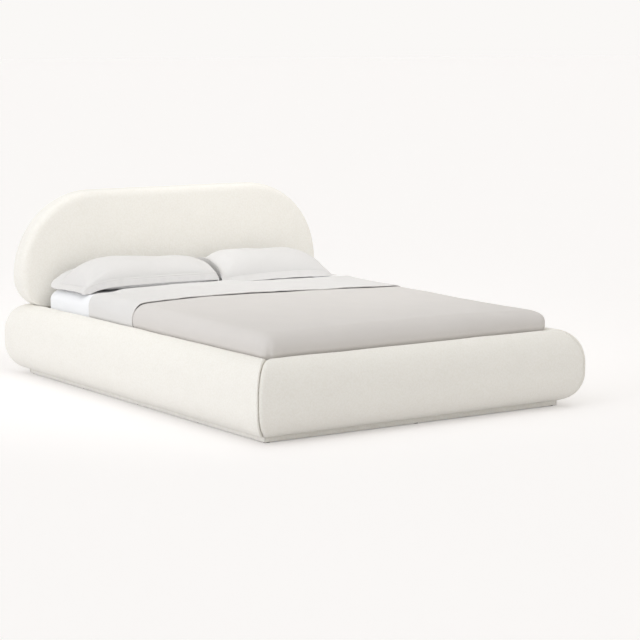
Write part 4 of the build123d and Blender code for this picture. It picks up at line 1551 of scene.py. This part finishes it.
    def build(self) -> None:
        """Build and report the mattress, its tape edge and its sheet."""
        report = self.finishes.report
        core = report(self.core(), Slot.TICKING, Body.PLATFORM)
        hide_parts("mattress")
        report(self.piping(), Slot.TICKING, Body.PLATFORM)
        sheet = report(self.fitted_sheet(), Slot.WHITE_COTTON, Body.PLATFORM)
        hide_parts("fitted_sheet")


@dataclass
class Duvet:
    """Duvet over the foot end, tucked between the mattress and the rails."""

    finishes: Finishes
    bed: BedTop = BedTop()
    half: float = 0.7693
    foot: float = -1.0693
    tongue: float = 0.045
    thickness: float = 6 * MM
    outset: float = 7.3 * MM
    square_foot: float = 0.25
    belly_foot: float = 9 * MM
    waves: Waves = ((0.42, 1.5 * MM), (0.15, 0.5 * MM))
    edge_waves: Waves = ((0.12, 1.2 * MM),)
    seed: int = 61
    step: float = 12 * MM
    skew_from: float = -0.9
    skew_ease: float = 0.95
    edge_hang: float = 0.28
    edge_reach: float = 0.12
    snug: float = 0.3 * MM
    side_range: tuple[float, float] = (-9 * MM, 0.4 * MM)
    under_band: float = 6.6 * MM
    thinned: float = 0.8
    side_share: float = 0.25
    inside: Place = (0.0, -0.5, 0.2)
    folds: tuple[Crease, ...] = (
        Crease((-0.75, -1.068, 0.425), (-0.757, -1.078, 0.32), 8 * MM, 6 * MM),
        Crease((0.755, -1.05, 0.44), (0.765, -1.05, 0.3), 9 * MM, 3 * MM),
    )

    def surface(self) -> tuple[Array, Array, Array]:
        """Outer surface, flat cloth coordinates and normals of the duvet."""
        bed = self.bed
        drape = Drape(
            self.half, self.foot, bed.fold + self.tongue, bed.top + self.outset, bed.platform + bed.hem,
            bed.roll, bed.corner, round_head=False, step=self.step, square_foot=self.square_foot,
            belly_side=bed.belly, belly_foot=self.belly_foot,
        )
        points, cloth, hang = drape.place()
        x, y = points[..., 0], points[..., 1]
        skewed = smoothstep((y - self.skew_from) / self.skew_ease)
        points[..., 1] = y = y + (bed.fold_y(x) - bed.fold) * skewed
        normals = grid_normals(points, self.inside)
        top_share = bed.on_top(hang)
        points[..., 2] += bed.rise(x, y, self.half) * top_share
        uneven = ripple(points, self.seed, self.waves) - self.waves[0][1]
        edge = bell(hang - self.edge_hang, self.edge_reach) * ripple(points, self.seed + 2, self.edge_waves)
        folds = sum(fold.press(points) for fold in self.folds)
        fullness = self.side_share + (1 - self.side_share) * top_share
        move = (uneven + edge) * fullness - folds - self.snug
        move = np.where(top_share < 0.5, np.clip(move, *self.side_range), move)
        move = move - bed.tucked(x, y) * self.under_band
        return points + normals * move[..., None], cloth, normals

    def build(self) -> None:
        """Build and report the duvet."""
        outer, cloth, normals = self.surface()
        thick = self.thickness * (1 - self.thinned * self.bed.tucked(outer[..., 0], outer[..., 1]))
        maker = MeshMaker()
        maker.shell(outer, outer - normals * thick[..., None], cloth)
        piece = self.finishes.report(maker.build("duvet_quilt"), Slot.GREIGE_LINEN, Body.PLATFORM)
        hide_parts("duvet")


@dataclass
class TurnedSheet:
    """Sheet turned back over the duvet's head edge, with a rolled fold and a raised lip."""

    finishes: Finishes
    bed: BedTop = BedTop()
    half: float = 0.7704
    head: float = 0.507
    thickness: float = 5.5 * MM
    outset: float = 8.3 * MM
    lift: float = 4.2 * MM
    roll_head: float = 46 * MM
    pushed_up: float = 12 * MM
    lip: float = 0.6 * MM
    pull: float = 0.5 * MM
    waves: Waves = ((0.3, 1.0 * MM), (0.1, 0.5 * MM))
    seed: int = 71
    step: float = 9 * MM
    head_bow: float = 6 * MM
    lip_reach: float = 16 * MM
    side_range: tuple[float, float] = (-3 * MM, 0.3 * MM)
    bolster_y: float = 0.478
    bolster_reach: float = 0.034
    bolster_fall: float = 0.9
    bolster_fall_y: float = 0.488
    bolster_fall_ease: float = 0.02
    bolster_left_x: float = -0.7
    bolster_left_ease: float = 0.12
    right_less: float = 0.75
    right_x: float = 0.02
    right_ease: float = 0.1
    head_bow_pitch: float = 3.0
    head_less: float = 0.25
    pull_waves: tuple[float, float, float] = (55.0, 3.0, 9.0)
    pull_reach: float = 0.05
    side_share: float = 0.2
    inside: Place = (0.0, 0.3, 0.2)

    def bolster(self, x: Array, y: Array) -> Array:
        """Extra height where the pillows push the sheet up in front of them.

        Args:
            x: Places across.
            y: Places along.

        Returns:
            Heights.
        """
        fall = self.bolster_fall * smoothstep((y - self.bolster_fall_y) / self.bolster_fall_ease)
        along = bell(y - self.bolster_y, self.bolster_reach) - fall
        less = self.right_less * smoothstep((x - self.right_x) / self.right_ease)
        left = smoothstep((x - self.bolster_left_x) / self.bolster_left_ease) * (1 - less)
        return self.pushed_up * along * left

    def build(self) -> None:
        """Build and report the band."""
        bed = self.bed
        drape = Drape(
            self.half, bed.fold, self.head, bed.top + self.outset, bed.platform + bed.hem,
            bed.roll, bed.corner, round_head=False, round_foot=False, step=self.step,
            roll_head=self.roll_head, belly_side=bed.belly, belly_foot=bed.belly,
        )
        points, cloth, hang = drape.place()
        x, y = points[..., 0], points[..., 1]
        back, fold = (y - bed.fold) / (self.head - bed.fold), bed.fold_y(x)
        bow = self.head_bow * np.cos(x * self.head_bow_pitch)
        points[..., 1] = y = fold + (self.head - bow - fold) * back
        normals = grid_normals(points, self.inside)
        top_share = bed.on_top(hang)
        under = bed.rise(x, fold, self.half) * (1 - self.head_less * smoothstep(back))
        points[..., 2] += (under + self.lift + self.bolster(x, y)) * top_share
        uneven = ripple(points, self.seed, self.waves) - self.waves[0][1]
        pulls = drifting(x, *self.pull_waves) * bell(y - fold, self.pull_reach) * self.pull
        lip = bell(y - fold, self.lip_reach) * self.lip
        fullness = self.side_share + (1 - self.side_share) * top_share
        move = uneven * fullness + (lip + pulls) * top_share
        move = np.where(top_share < 0.5, np.clip(move, *self.side_range), move)
        outer = points + normals * move[..., None]
        maker = MeshMaker()
        maker.shell(outer, outer - normals * self.thickness, cloth)
        piece = self.finishes.report(maker.build("turned_sheet_band"), Slot.PALE_LINEN, Body.PLATFORM)
        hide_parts("turned_sheet")


@dataclass
class Pillow:
    """Plump pillow in a case with a flat border, lying against the headboard."""

    finishes: Finishes
    name: str
    side: int
    inner: float
    outer: float
    seam_front: float
    inner_drop: float
    crown: float
    tilt: float
    blunt: float
    spread: tuple[float, float]
    inner_rise: float
    seed: int
    middle: float = 0.033
    front: float = 0.612
    back: float = 0.93
    rest: float = 0.4492
    seam_back: float = 0.53
    outer_drop: float = 0.034
    peak: float = 0.06
    top: float = 0.12
    border_w: float = 0.038
    across: int = 110
    deep: int = 66
    waves: Waves = ((0.26, 3.5 * MM), (0.1, 1.3 * MM))
    gather: float = 11 * MM
    gather_reach: float = 0.1
    clear: float = 1.2 * MM
    inner_inset: float = 6 * MM
    outer_inset: float = 28 * MM
    front_inset: float = 16 * MM
    back_inset: float = 14 * MM
    side_waist_share: float = 0.022
    front_waist_share: float = 0.045
    rear_drop: float = 0.022
    inner_lift: float = 0.034
    softness: float = 5 * MM
    outer_round: float = 0.58
    inner_round: float = 0.5
    deep_blunt: float = 2.3
    deep_round: float = 0.56
    tilt_range: tuple[float, float] = (-0.9, 0.55)
    low_full: float = 1.3
    low_round: float = 0.7
    outer_flat: float = 0.8
    inner_flat: float = 0.12
    rear_flat: float = 0.35
    outer_fall: float = 0.55
    rear_rise: float = 0.3
    corner_reach: float = 0.25

    GATHER_ACROSS = (190.0, 2.0, 37.0)
    GATHER_ALONG = (210.0, 2.0, 41.0)
    HALF_CLOTH = 0.5
    TOP_RIDGE = 0.6
    LOW_RIDGE = 0.3
    FRONT_CREASE = Crease((-0.93, -0.97, 0.0), (-0.9, 0.1, 0.0), 0.06, 8 * MM)
    CREASE_WIDTH = 0.06
    CREASE_FROM = (0.94, 0.9)
    FLANGE_WAVES = ((55, 1, 1.5 * MM), (131, 2, 0.6 * MM))

    BORDER_ROWS = (
        (-0.06, 0.0), (0.05, 0.2), (0.11, 1.2), (0.15, 0.0), (0.19, -0.3), (0.24, 1.0), (0.4, 0.5),
        (0.6, 0.5), (0.8, 0.5), (0.93, 0.9), (1.0, 0.4),
    )

    def seam_height(self, u: Array, v: Array) -> Array:
        """Height of the seam, for places across (-1 inner, 1 outer) and along (-1 front).

        Args:
            u: Places across.
            v: Places along.

        Returns:
            Heights.
        """
        rear = (v + 1) / 2
        level = self.seam_front + (self.seam_back - self.seam_front) * rear
        outer = (self.outer_drop + self.rear_drop * rear) * np.clip(u, 0, 1) ** 5
        inner = np.clip(-u, 0, 1)
        return level - outer - self.inner_drop * inner**3 + self.inner_lift * inner**6 * (1 - v**2)

    def plan(self, u: Array, v: Array) -> tuple[Array, Array]:
        """Where places of the body lie, its sides drawn in between the corners.

        Args:
            u: Places across.
            v: Places along.

        Returns:
            Distances across and along.
        """
        inner, outer = self.inner + self.inner_inset, self.outer - self.outer_inset
        front, back = self.front + self.front_inset, self.back - self.back_inset
        x = (inner + outer) / 2 + (outer - inner) / 2 * u * (1 - self.side_waist_share * (1 - v**2))
        y = (front + back) / 2 + (back - front) / 2 * v * (1 - self.front_waist_share * (1 - u**2))
        return x, y

    def dome(self, u: Array, v: Array) -> Array:
        """How full the pillow is at a place, 0 at its seam and 1 at its crown.

        Args:
            u: Places across.
            v: Places along.

        Returns:
            Shares of the full height.
        """
        s = np.where(u > self.peak, (u - self.peak) / (1 - self.peak), (self.peak - u) / (1 + self.peak))
        t = np.where(v > self.top, (v - self.top) / (1 - self.top), (self.top - v) / (1 + self.top))
        outer = np.clip(1 - s**2, 0, 1) ** self.outer_round
        inner = np.clip(1 - s**self.blunt, 0, 1) ** self.inner_round
        deep = np.clip(1 - t**self.deep_blunt, 0, 1) ** self.deep_round
        return np.where(u > self.peak, outer, inner) * deep

    def creases(self) -> list[Crease]:
        """Soft creases that run in from the corners, in the body's own coordinates."""
        rng = np.random.default_rng(self.seed + 5)
        found, (far_u, far_v) = [self.FRONT_CREASE], self.CREASE_FROM
        for cu, cv in ((-1, -1), (-1, 1), (1, -1), (1, 1)):
            for _ in range(3):
                turn = rng.uniform(0.15, 0.85)
                reach = rng.uniform(0.25, 0.5)
                end = (cu * (far_u - reach * turn * 0.8), cv * (far_v - reach * (1 - turn) * 1.6), 0.0)
                start, depth = (cu * far_u, cv * far_v, 0.0), rng.uniform(3, 6) * MM
                found.append(Crease(start, end, self.CREASE_WIDTH, depth))
        return found

    def body(self, maker: MeshMaker) -> Array:
        """Add the stuffed body, and give the ring of its seam.

        Args:
            maker: The mesh under construction.

        Returns:
            The seam's points, once round.
        """
        steps = [np.sin(np.linspace(-1, 1, count) * math.pi / 2) for count in (self.across, self.deep)]
        u, v = np.meshgrid(*steps, indexing="ij")
        x, y = self.plan(u, v)
        seam, dome = self.seam_height(u, v), self.dome(u, v)
        edge = np.minimum(1 - np.abs(u), 1 - np.abs(v))
        long_side = np.abs(v) > np.abs(u)
        gather = np.where(long_side, drifting(x, *self.GATHER_ACROSS), drifting(y, *self.GATHER_ALONG))
        gather = gather * np.exp(-edge / self.gather_reach) * edge * self.gather
        slack = ripple(at(x, y, seam), self.seed, self.waves) + gather
        slack = slack - sum(crease.press(at(u, v, 0.0)) for crease in self.creases())
        crown = self.crown + self.tilt * np.clip(u, *self.tilt_range)
        top = seam + (crown - seam) * dome + slack * dome**0.5
        low = seam - (self.seam_front - self.rest) * self.low_full * dome**self.low_round
        low = self.rest + self.softness * np.logaddexp(0, (low - self.rest) / self.softness)
        low = np.minimum(low, top)
        upper, cloth = at(self.side * x, y, top), at(x, y, 0.0)
        a, b = maker.add(upper, cloth), maker.add(at(self.side * x, y, low), cloth)
        b[0], b[-1], b[:, 0], b[:, -1] = a[0], a[-1], a[:, 0], a[:, -1]
        maker.grid(a)
        maker.grid(b, flip=True)
        return border(upper)

    def flange(self, maker: MeshMaker, seam: Array) -> None:
        """Add the flat border of the case, hanging from the seam.

        Args:
            maker: The mesh under construction.
            seam: The seam's points, once round.
        """
        def even(rows: Array, times: int) -> Array:
            """Even out directions round the ring.

            Args:
                rows: Directions, once round.
                times: How often each is averaged with its neighbours.

            Returns:
                The evened directions, one long.
            """
            for _ in range(times):
                rows = (np.roll(rows, 1, axis=0) + rows + np.roll(rows, -1, axis=0)) / 3
            return unit(rows)

        side, x, y = self.side, self.side * seam[:, 0], seam[:, 1]
        middle = np.array([side * (self.inner + self.outer) / 2, (self.front + self.back) / 2, 0.0])
        ahead = np.roll(seam, -1, axis=0) - np.roll(seam, 1, axis=0)
        tangent = even(unit(ahead * np.array([1.0, 1.0, 0.0])), 8)
        out = at(tangent[:, 1], -tangent[:, 0], 0.0)
        out *= np.sign(np.sum(out * (seam - middle)))
        front, rear = np.clip(-out[:, 1], 0, 1), np.clip(out[:, 1], 0, 1)
        outer, inner = np.clip(side * out[:, 0], 0, 1), np.clip(-side * out[:, 0], 0, 1)
        share = np.clip((x - self.inner) / (self.outer - self.inner), 0, 1)
        spread = self.spread[0] + (self.spread[1] - self.spread[0]) * share
        reach = self.border_w * (1 + self.corner_reach * np.minimum(front + rear, outer + inner))
        front, rear, outer, inner = front**2, rear**2, outer**2, inner**2
        flat = spread * front + self.outer_flat * outer + self.inner_flat * inner + self.rear_flat * rear
        fall = -front - self.outer_fall * outer + self.inner_rise * inner + self.rear_rise * rear
        hang = even(out * flat[:, None] + at(0.0, 0.0, fall), 5)
        run = np.cumsum(np.linalg.norm(np.diff(seam, axis=0, append=seam[:1]), axis=1))
        wave = sum(np.sin(run * pitch + k * self.seed) * depth for pitch, k, depth in self.FLANGE_WAVES)
        up = unit(np.cross(tangent, hang))
        up *= np.sign(np.sum(up[:, 2]))
        limit = self.middle + side * self.clear
        rows_top, rows_low = [], []
        for part, ridge in self.BORDER_ROWS:
            place = seam + hang * (reach * part)[:, None] + up * (wave * max(part, 0))[:, None]
            place[:, 2] = np.maximum(place[:, 2], self.rest + self.clear)
            place[:, 0] = np.maximum(place[:, 0], limit) if side > 0 else np.minimum(place[:, 0], limit)
            rows_top.append(place + up * (self.HALF_CLOTH + self.TOP_RIDGE * ridge) * MM)
            rows_low.append(place - up * (self.HALF_CLOTH + self.LOW_RIDGE * ridge) * MM)
        maker.hoop([maker.add(row, at(x, y, 0.0)) for row in rows_top + rows_low[::-1]])

    def build(self) -> None:
        """Build and report the pillow."""
        maker = MeshMaker()
        self.flange(maker, self.body(maker))
        piece = self.finishes.report(maker.build(f"pillow_{self.name}_cased"), Slot.PALE_LINEN, Body.PLATFORM)
        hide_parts(f"pillow_{self.name}")


@dataclass
class LiftStrap:
    """Webbing loop at the foot of the platform, to lift it by."""

    finishes: Finishes
    y: float = -1.065
    low: float = 0.2045
    height: float = 0.075
    width: float = 0.04
    bow: float = 3 * MM
    thickness: float = 1.8 * MM
    count: int = 64
    bow_round: float = 0.6

    SECTION = ((-1, -0.5), (-1, 0.5), (-0.9, 1), (0.9, 1), (1, 0.5), (1, -0.5), (0.9, -1), (-0.9, -1))

    def build(self) -> None:
        """Build and report the strap."""
        half, thick = self.width / 2, self.thickness / 2
        t = np.linspace(0, math.tau, self.count + 1)[:-1]
        y = self.y + (self.bow - thick) * np.sign(np.cos(t)) * np.abs(np.cos(t)) ** self.bow_round
        z = self.low + self.height / 2 + (self.height / 2 - thick) * np.sin(t)
        path = at(0.0, y, z)
        ahead = unit(np.roll(path, -1, axis=0) - np.roll(path, 1, axis=0))
        normal = at(0.0, ahead[:, 2], -ahead[:, 1])
        maker = MeshMaker()
        rings = []
        for across, off in self.SECTION:
            place = path + normal * (off * thick) + np.array([across * half, 0.0, 0.0])
            rings.append(maker.add(place, at(across * half, t * self.height / math.pi, 0.0)))
        maker.hoop(rings)
        piece = self.finishes.report(maker.build("lift_strap_webbing"), Slot.WEBBING, Body.PLATFORM)
        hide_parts("lift_strap")


@dataclass
class Bedding:
    """Mattress, sheets, duvet and pillows on the platform."""

    finishes: Finishes

    def build(self) -> None:
        """Build all bedding."""
        Mattress(self.finishes).build()
        Duvet(self.finishes).build()
        TurnedSheet(self.finishes).build()
        Pillow(
            self.finishes, "left", side=-1, inner=-0.021, outer=0.757, seam_front=0.514, inner_drop=0.004,
            crown=0.605, tilt=0.026, blunt=16.0, spread=(0.3, 0.25), inner_rise=-0.2, seed=81,
        ).build()
        Pillow(
            self.finishes, "right", side=1, inner=0.047, outer=0.76, seam_front=0.488, inner_drop=0.016,
            crown=0.606, tilt=0.0, blunt=6.0, spread=(0.75, 0.5), inner_rise=0.7, seed=91,
        ).build()
        LiftStrap(self.finishes).build()


# Hard parts of the frame


@dataclass
class HardParts:
    """The CAD nodes that stay as they are and get their finishes and broken edges."""

    finishes: Finishes
    sharpest: float = 40.0

    WIDTHS = {
        Slot.BOARD: 0.8 * MM,
        Slot.TIMBER: 1.5 * MM,
        Slot.STEEL: 0.7 * MM,
        Slot.ZINC: 0.5 * MM,
        Slot.RUBBER: 0.8 * MM,
        Slot.GLIDE: 0.6 * MM,
        Slot.BEECH: 1.2 * MM,
        Slot.ROD: 0.3 * MM,
    }

    def bevel(self, part: Piece, slot: Slot) -> None:
        """Break the edges of a hard part.

        Args:
            part: The part.
            slot: Its finish, which sets the width of the broken edge.
        """
        edge = part.modifiers.new("broken_edges", "BEVEL")
        edge.width = self.WIDTHS.get(slot, 0.5 * MM)
        edge.segments = 2
        edge.limit_method = "ANGLE"
        edge.angle_limit = math.radians(self.sharpest)

    def build(self) -> None:
        """Dress every CAD node that shows."""
        slots = {row["node"]: row["material_slot"] for row in frame["record"]["subparts"]}
        for name, node in sorted(frame["nodes"].items()):
            if node.hide_render:
                continue
            slot = Slot(slots[name])
            self.finishes.dress(node, slot)
            self.bevel(node, slot)
            LOG.info("%s: frame part, %s", name, slot.value)


# Studio


@dataclass(frozen=True)
class Sun:
    """One broad distant lamp."""

    name: str
    toward: Place
    share: float
    angle: float
    colour: Colour = (1.0, 1.0, 1.0)

    def build(self) -> None:
        """Make the lamp; its share is the light on a surface that faces it, 1 being the plain level."""
        data = bpy.data.lights.new(self.name, "SUN")
        data.color = self.colour
        data.energy = self.share * math.pi
        data.angle = math.radians(self.angle)
        lamp = bpy.data.objects.new(self.name, data)
        x, y, z = self.toward
        lamp.rotation_euler = (math.atan2(math.hypot(x, y), z), 0.0, math.atan2(x, -y))
        bpy.context.scene.collection.objects.link(lamp)


@dataclass(frozen=True)
class Panel:
    """One square lamp over the bed, hidden from the camera."""

    name: str
    place: Place
    target: Place
    power: float
    size: float = 1.8
    spread: float = 110.0

    def build(self) -> None:
        """Make the lamp; its power is in watts and its spread in degrees."""
        data = bpy.data.lights.new(self.name, "AREA")
        data.size = self.size
        data.spread = math.radians(self.spread)
        data.energy = self.power
        lamp = bpy.data.objects.new(self.name, data)
        lamp.location = self.place
        away = Vector(self.target) - Vector(self.place)
        lamp.rotation_euler = away.to_track_quat("-Z", "Y").to_euler()
        lamp.visible_camera = False
        bpy.context.scene.collection.objects.link(lamp)


DAY = (0.965, 1.0, 1.07)


@dataclass
class Studio:
    """Pale floor, soft lamps and the camera at the photo's place."""

    white: Colour = (0.956, 0.939, 0.922)
    floor_colour: Colour = (0.885, 0.87, 0.871)
    floor_reach: float = 150.0
    floor_z: float = -0.2 * MM
    near_glow: tuple[float, float] = (2.5, 0.225)
    far_glow: tuple[float, float] = (9.0, 0.228)
    ambient: float = 0.625
    fill_colour: Colour = (1.0, 0.988, 0.96)
    fill: tuple[tuple[int, float, float], ...] = ((2, 1.0, 0.06), (0, -1.0, 0.127), (0, 1.0, 0.092))
    aim: Place = (0.2298, 0.0, 0.3202)
    distance: float = 10.0908
    camera_turn: float = -34.1
    camera_fall: float = 7.81
    lens: float = 115.37
    lamps: tuple[Sun | Panel, ...] = (
        Sun("side_lamp", (-0.9, -0.12, 0.35), 0.12, 70, DAY),
        Sun("foot_lamp", (0.5, -0.85, 0.25), 0.032, 60),
        Sun("low_lamp", (-0.95, -0.1, 0.12), 0.19, 30, DAY),
        Sun("top_lamp", (-0.25, 0.1, 1.0), 0.08, 80),
        Panel("left_panel", (-1.0, -0.75, 2.6), (0.1, 1.05, 0.62), 3.2),
        Panel("right_panel", (0.6, -0.6, 2.6), (0.4, 1.05, 0.7), 6.0),
    )

    def camera(self) -> None:
        """Make the camera."""
        data = bpy.data.cameras.new("camera")
        data.lens = self.lens
        data.sensor_width = 36.0
        data.clip_end = 400.0
        camera = bpy.data.objects.new("camera", data)
        turn, fall = math.radians(self.camera_turn), math.radians(self.camera_fall)
        flat = self.distance * math.cos(fall)
        x, y, z = self.aim
        height = self.distance * math.sin(fall)
        camera.location = (x + flat * math.sin(turn), y - flat * math.cos(turn), z + height)
        camera.rotation_euler = (math.pi / 2 - fall, 0.0, turn)
        bpy.context.scene.collection.objects.link(camera)
        bpy.context.scene.camera = camera

    def surroundings(self) -> None:
        """Make the world: plain light on the bed, and the pale backdrop for the camera."""
        world = bpy.data.worlds.new("studio")
        bpy.context.scene.world = world
        world.use_nodes = True
        g = Graph(world.node_tree)
        g.tree.nodes.clear()
        toward = g.add("SeparateXYZ", {0: g.add("TexCoord").outputs["Generated"]}).outputs
        strength: float | Socket = self.ambient
        for axis, sign, share in self.fill:
            facing = g.math("MAXIMUM", g.math("MULTIPLY", toward[axis], sign), 0.0)
            strength = g.math("ADD", strength, g.math("MULTIPLY", g.math("POWER", facing, 2.0), share))
        light = g.add("Background", {"Color": (*self.fill_colour, 1.0), "Strength": strength})
        shown = g.add("Background", {"Color": (*self.white, 1.0), "Strength": 1.0})
        mixed = g.add("MixShader", {0: g.in_view(), 1: light.outputs[0], 2: shown.outputs[0]})
        g.put(mixed.outputs[0], g.add("OutputWorld").inputs["Surface"])

    def floor(self) -> None:
        """Make the floor, which shows as pale as the backdrop and keeps the bed's shadow."""
        ends = np.array([-self.floor_reach, self.floor_reach])
        maker = MeshMaker()
        maker.grid(maker.add(at(ends[:, None], ends, self.floor_z)))
        floor = maker.build("studio_floor")
        material, g, shader = start_material("studio_floor", Roughness=0.6, Specular_IOR_Level=0.0)
        where = g.own_place()
        tone = g.band(g.noise(where, 0.7))
        g.put(g.mix(tone, self.floor_colour, shade(self.floor_colour, 1.004)), shader.inputs["Base Color"])
        shader.inputs["Emission Color"].default_value = (*self.white, 1.0)
        away = g.add("VectorMath", {0: where}, operation="LENGTH").outputs["Value"]
        (near, near_glow), (far, far_glow) = self.near_glow, self.far_glow
        glow = g.math("MULTIPLY", g.in_view(), g.band(away, near, far, near_glow, far_glow))
        g.put(glow, shader.inputs["Emission Strength"])
        floor.data.materials.append(material)

    def build(self) -> None:
        """Build the studio."""
        self.camera()
        self.surroundings()
        self.floor()
        for lamp in self.lamps:
            lamp.build()
        scene = bpy.context.scene
        scene.view_settings.view_transform = "Standard"


def main() -> None:
    """Build the bed in order and report each piece."""
    logging.basicConfig(level=logging.INFO, format="%(name)s %(message)s")
    Studio().build()
    finishes = Finishes()
    Base(finishes).build()
    Bedding(finishes).build()
    HardParts(finishes).build()


if __name__ == "__main__":
    main()
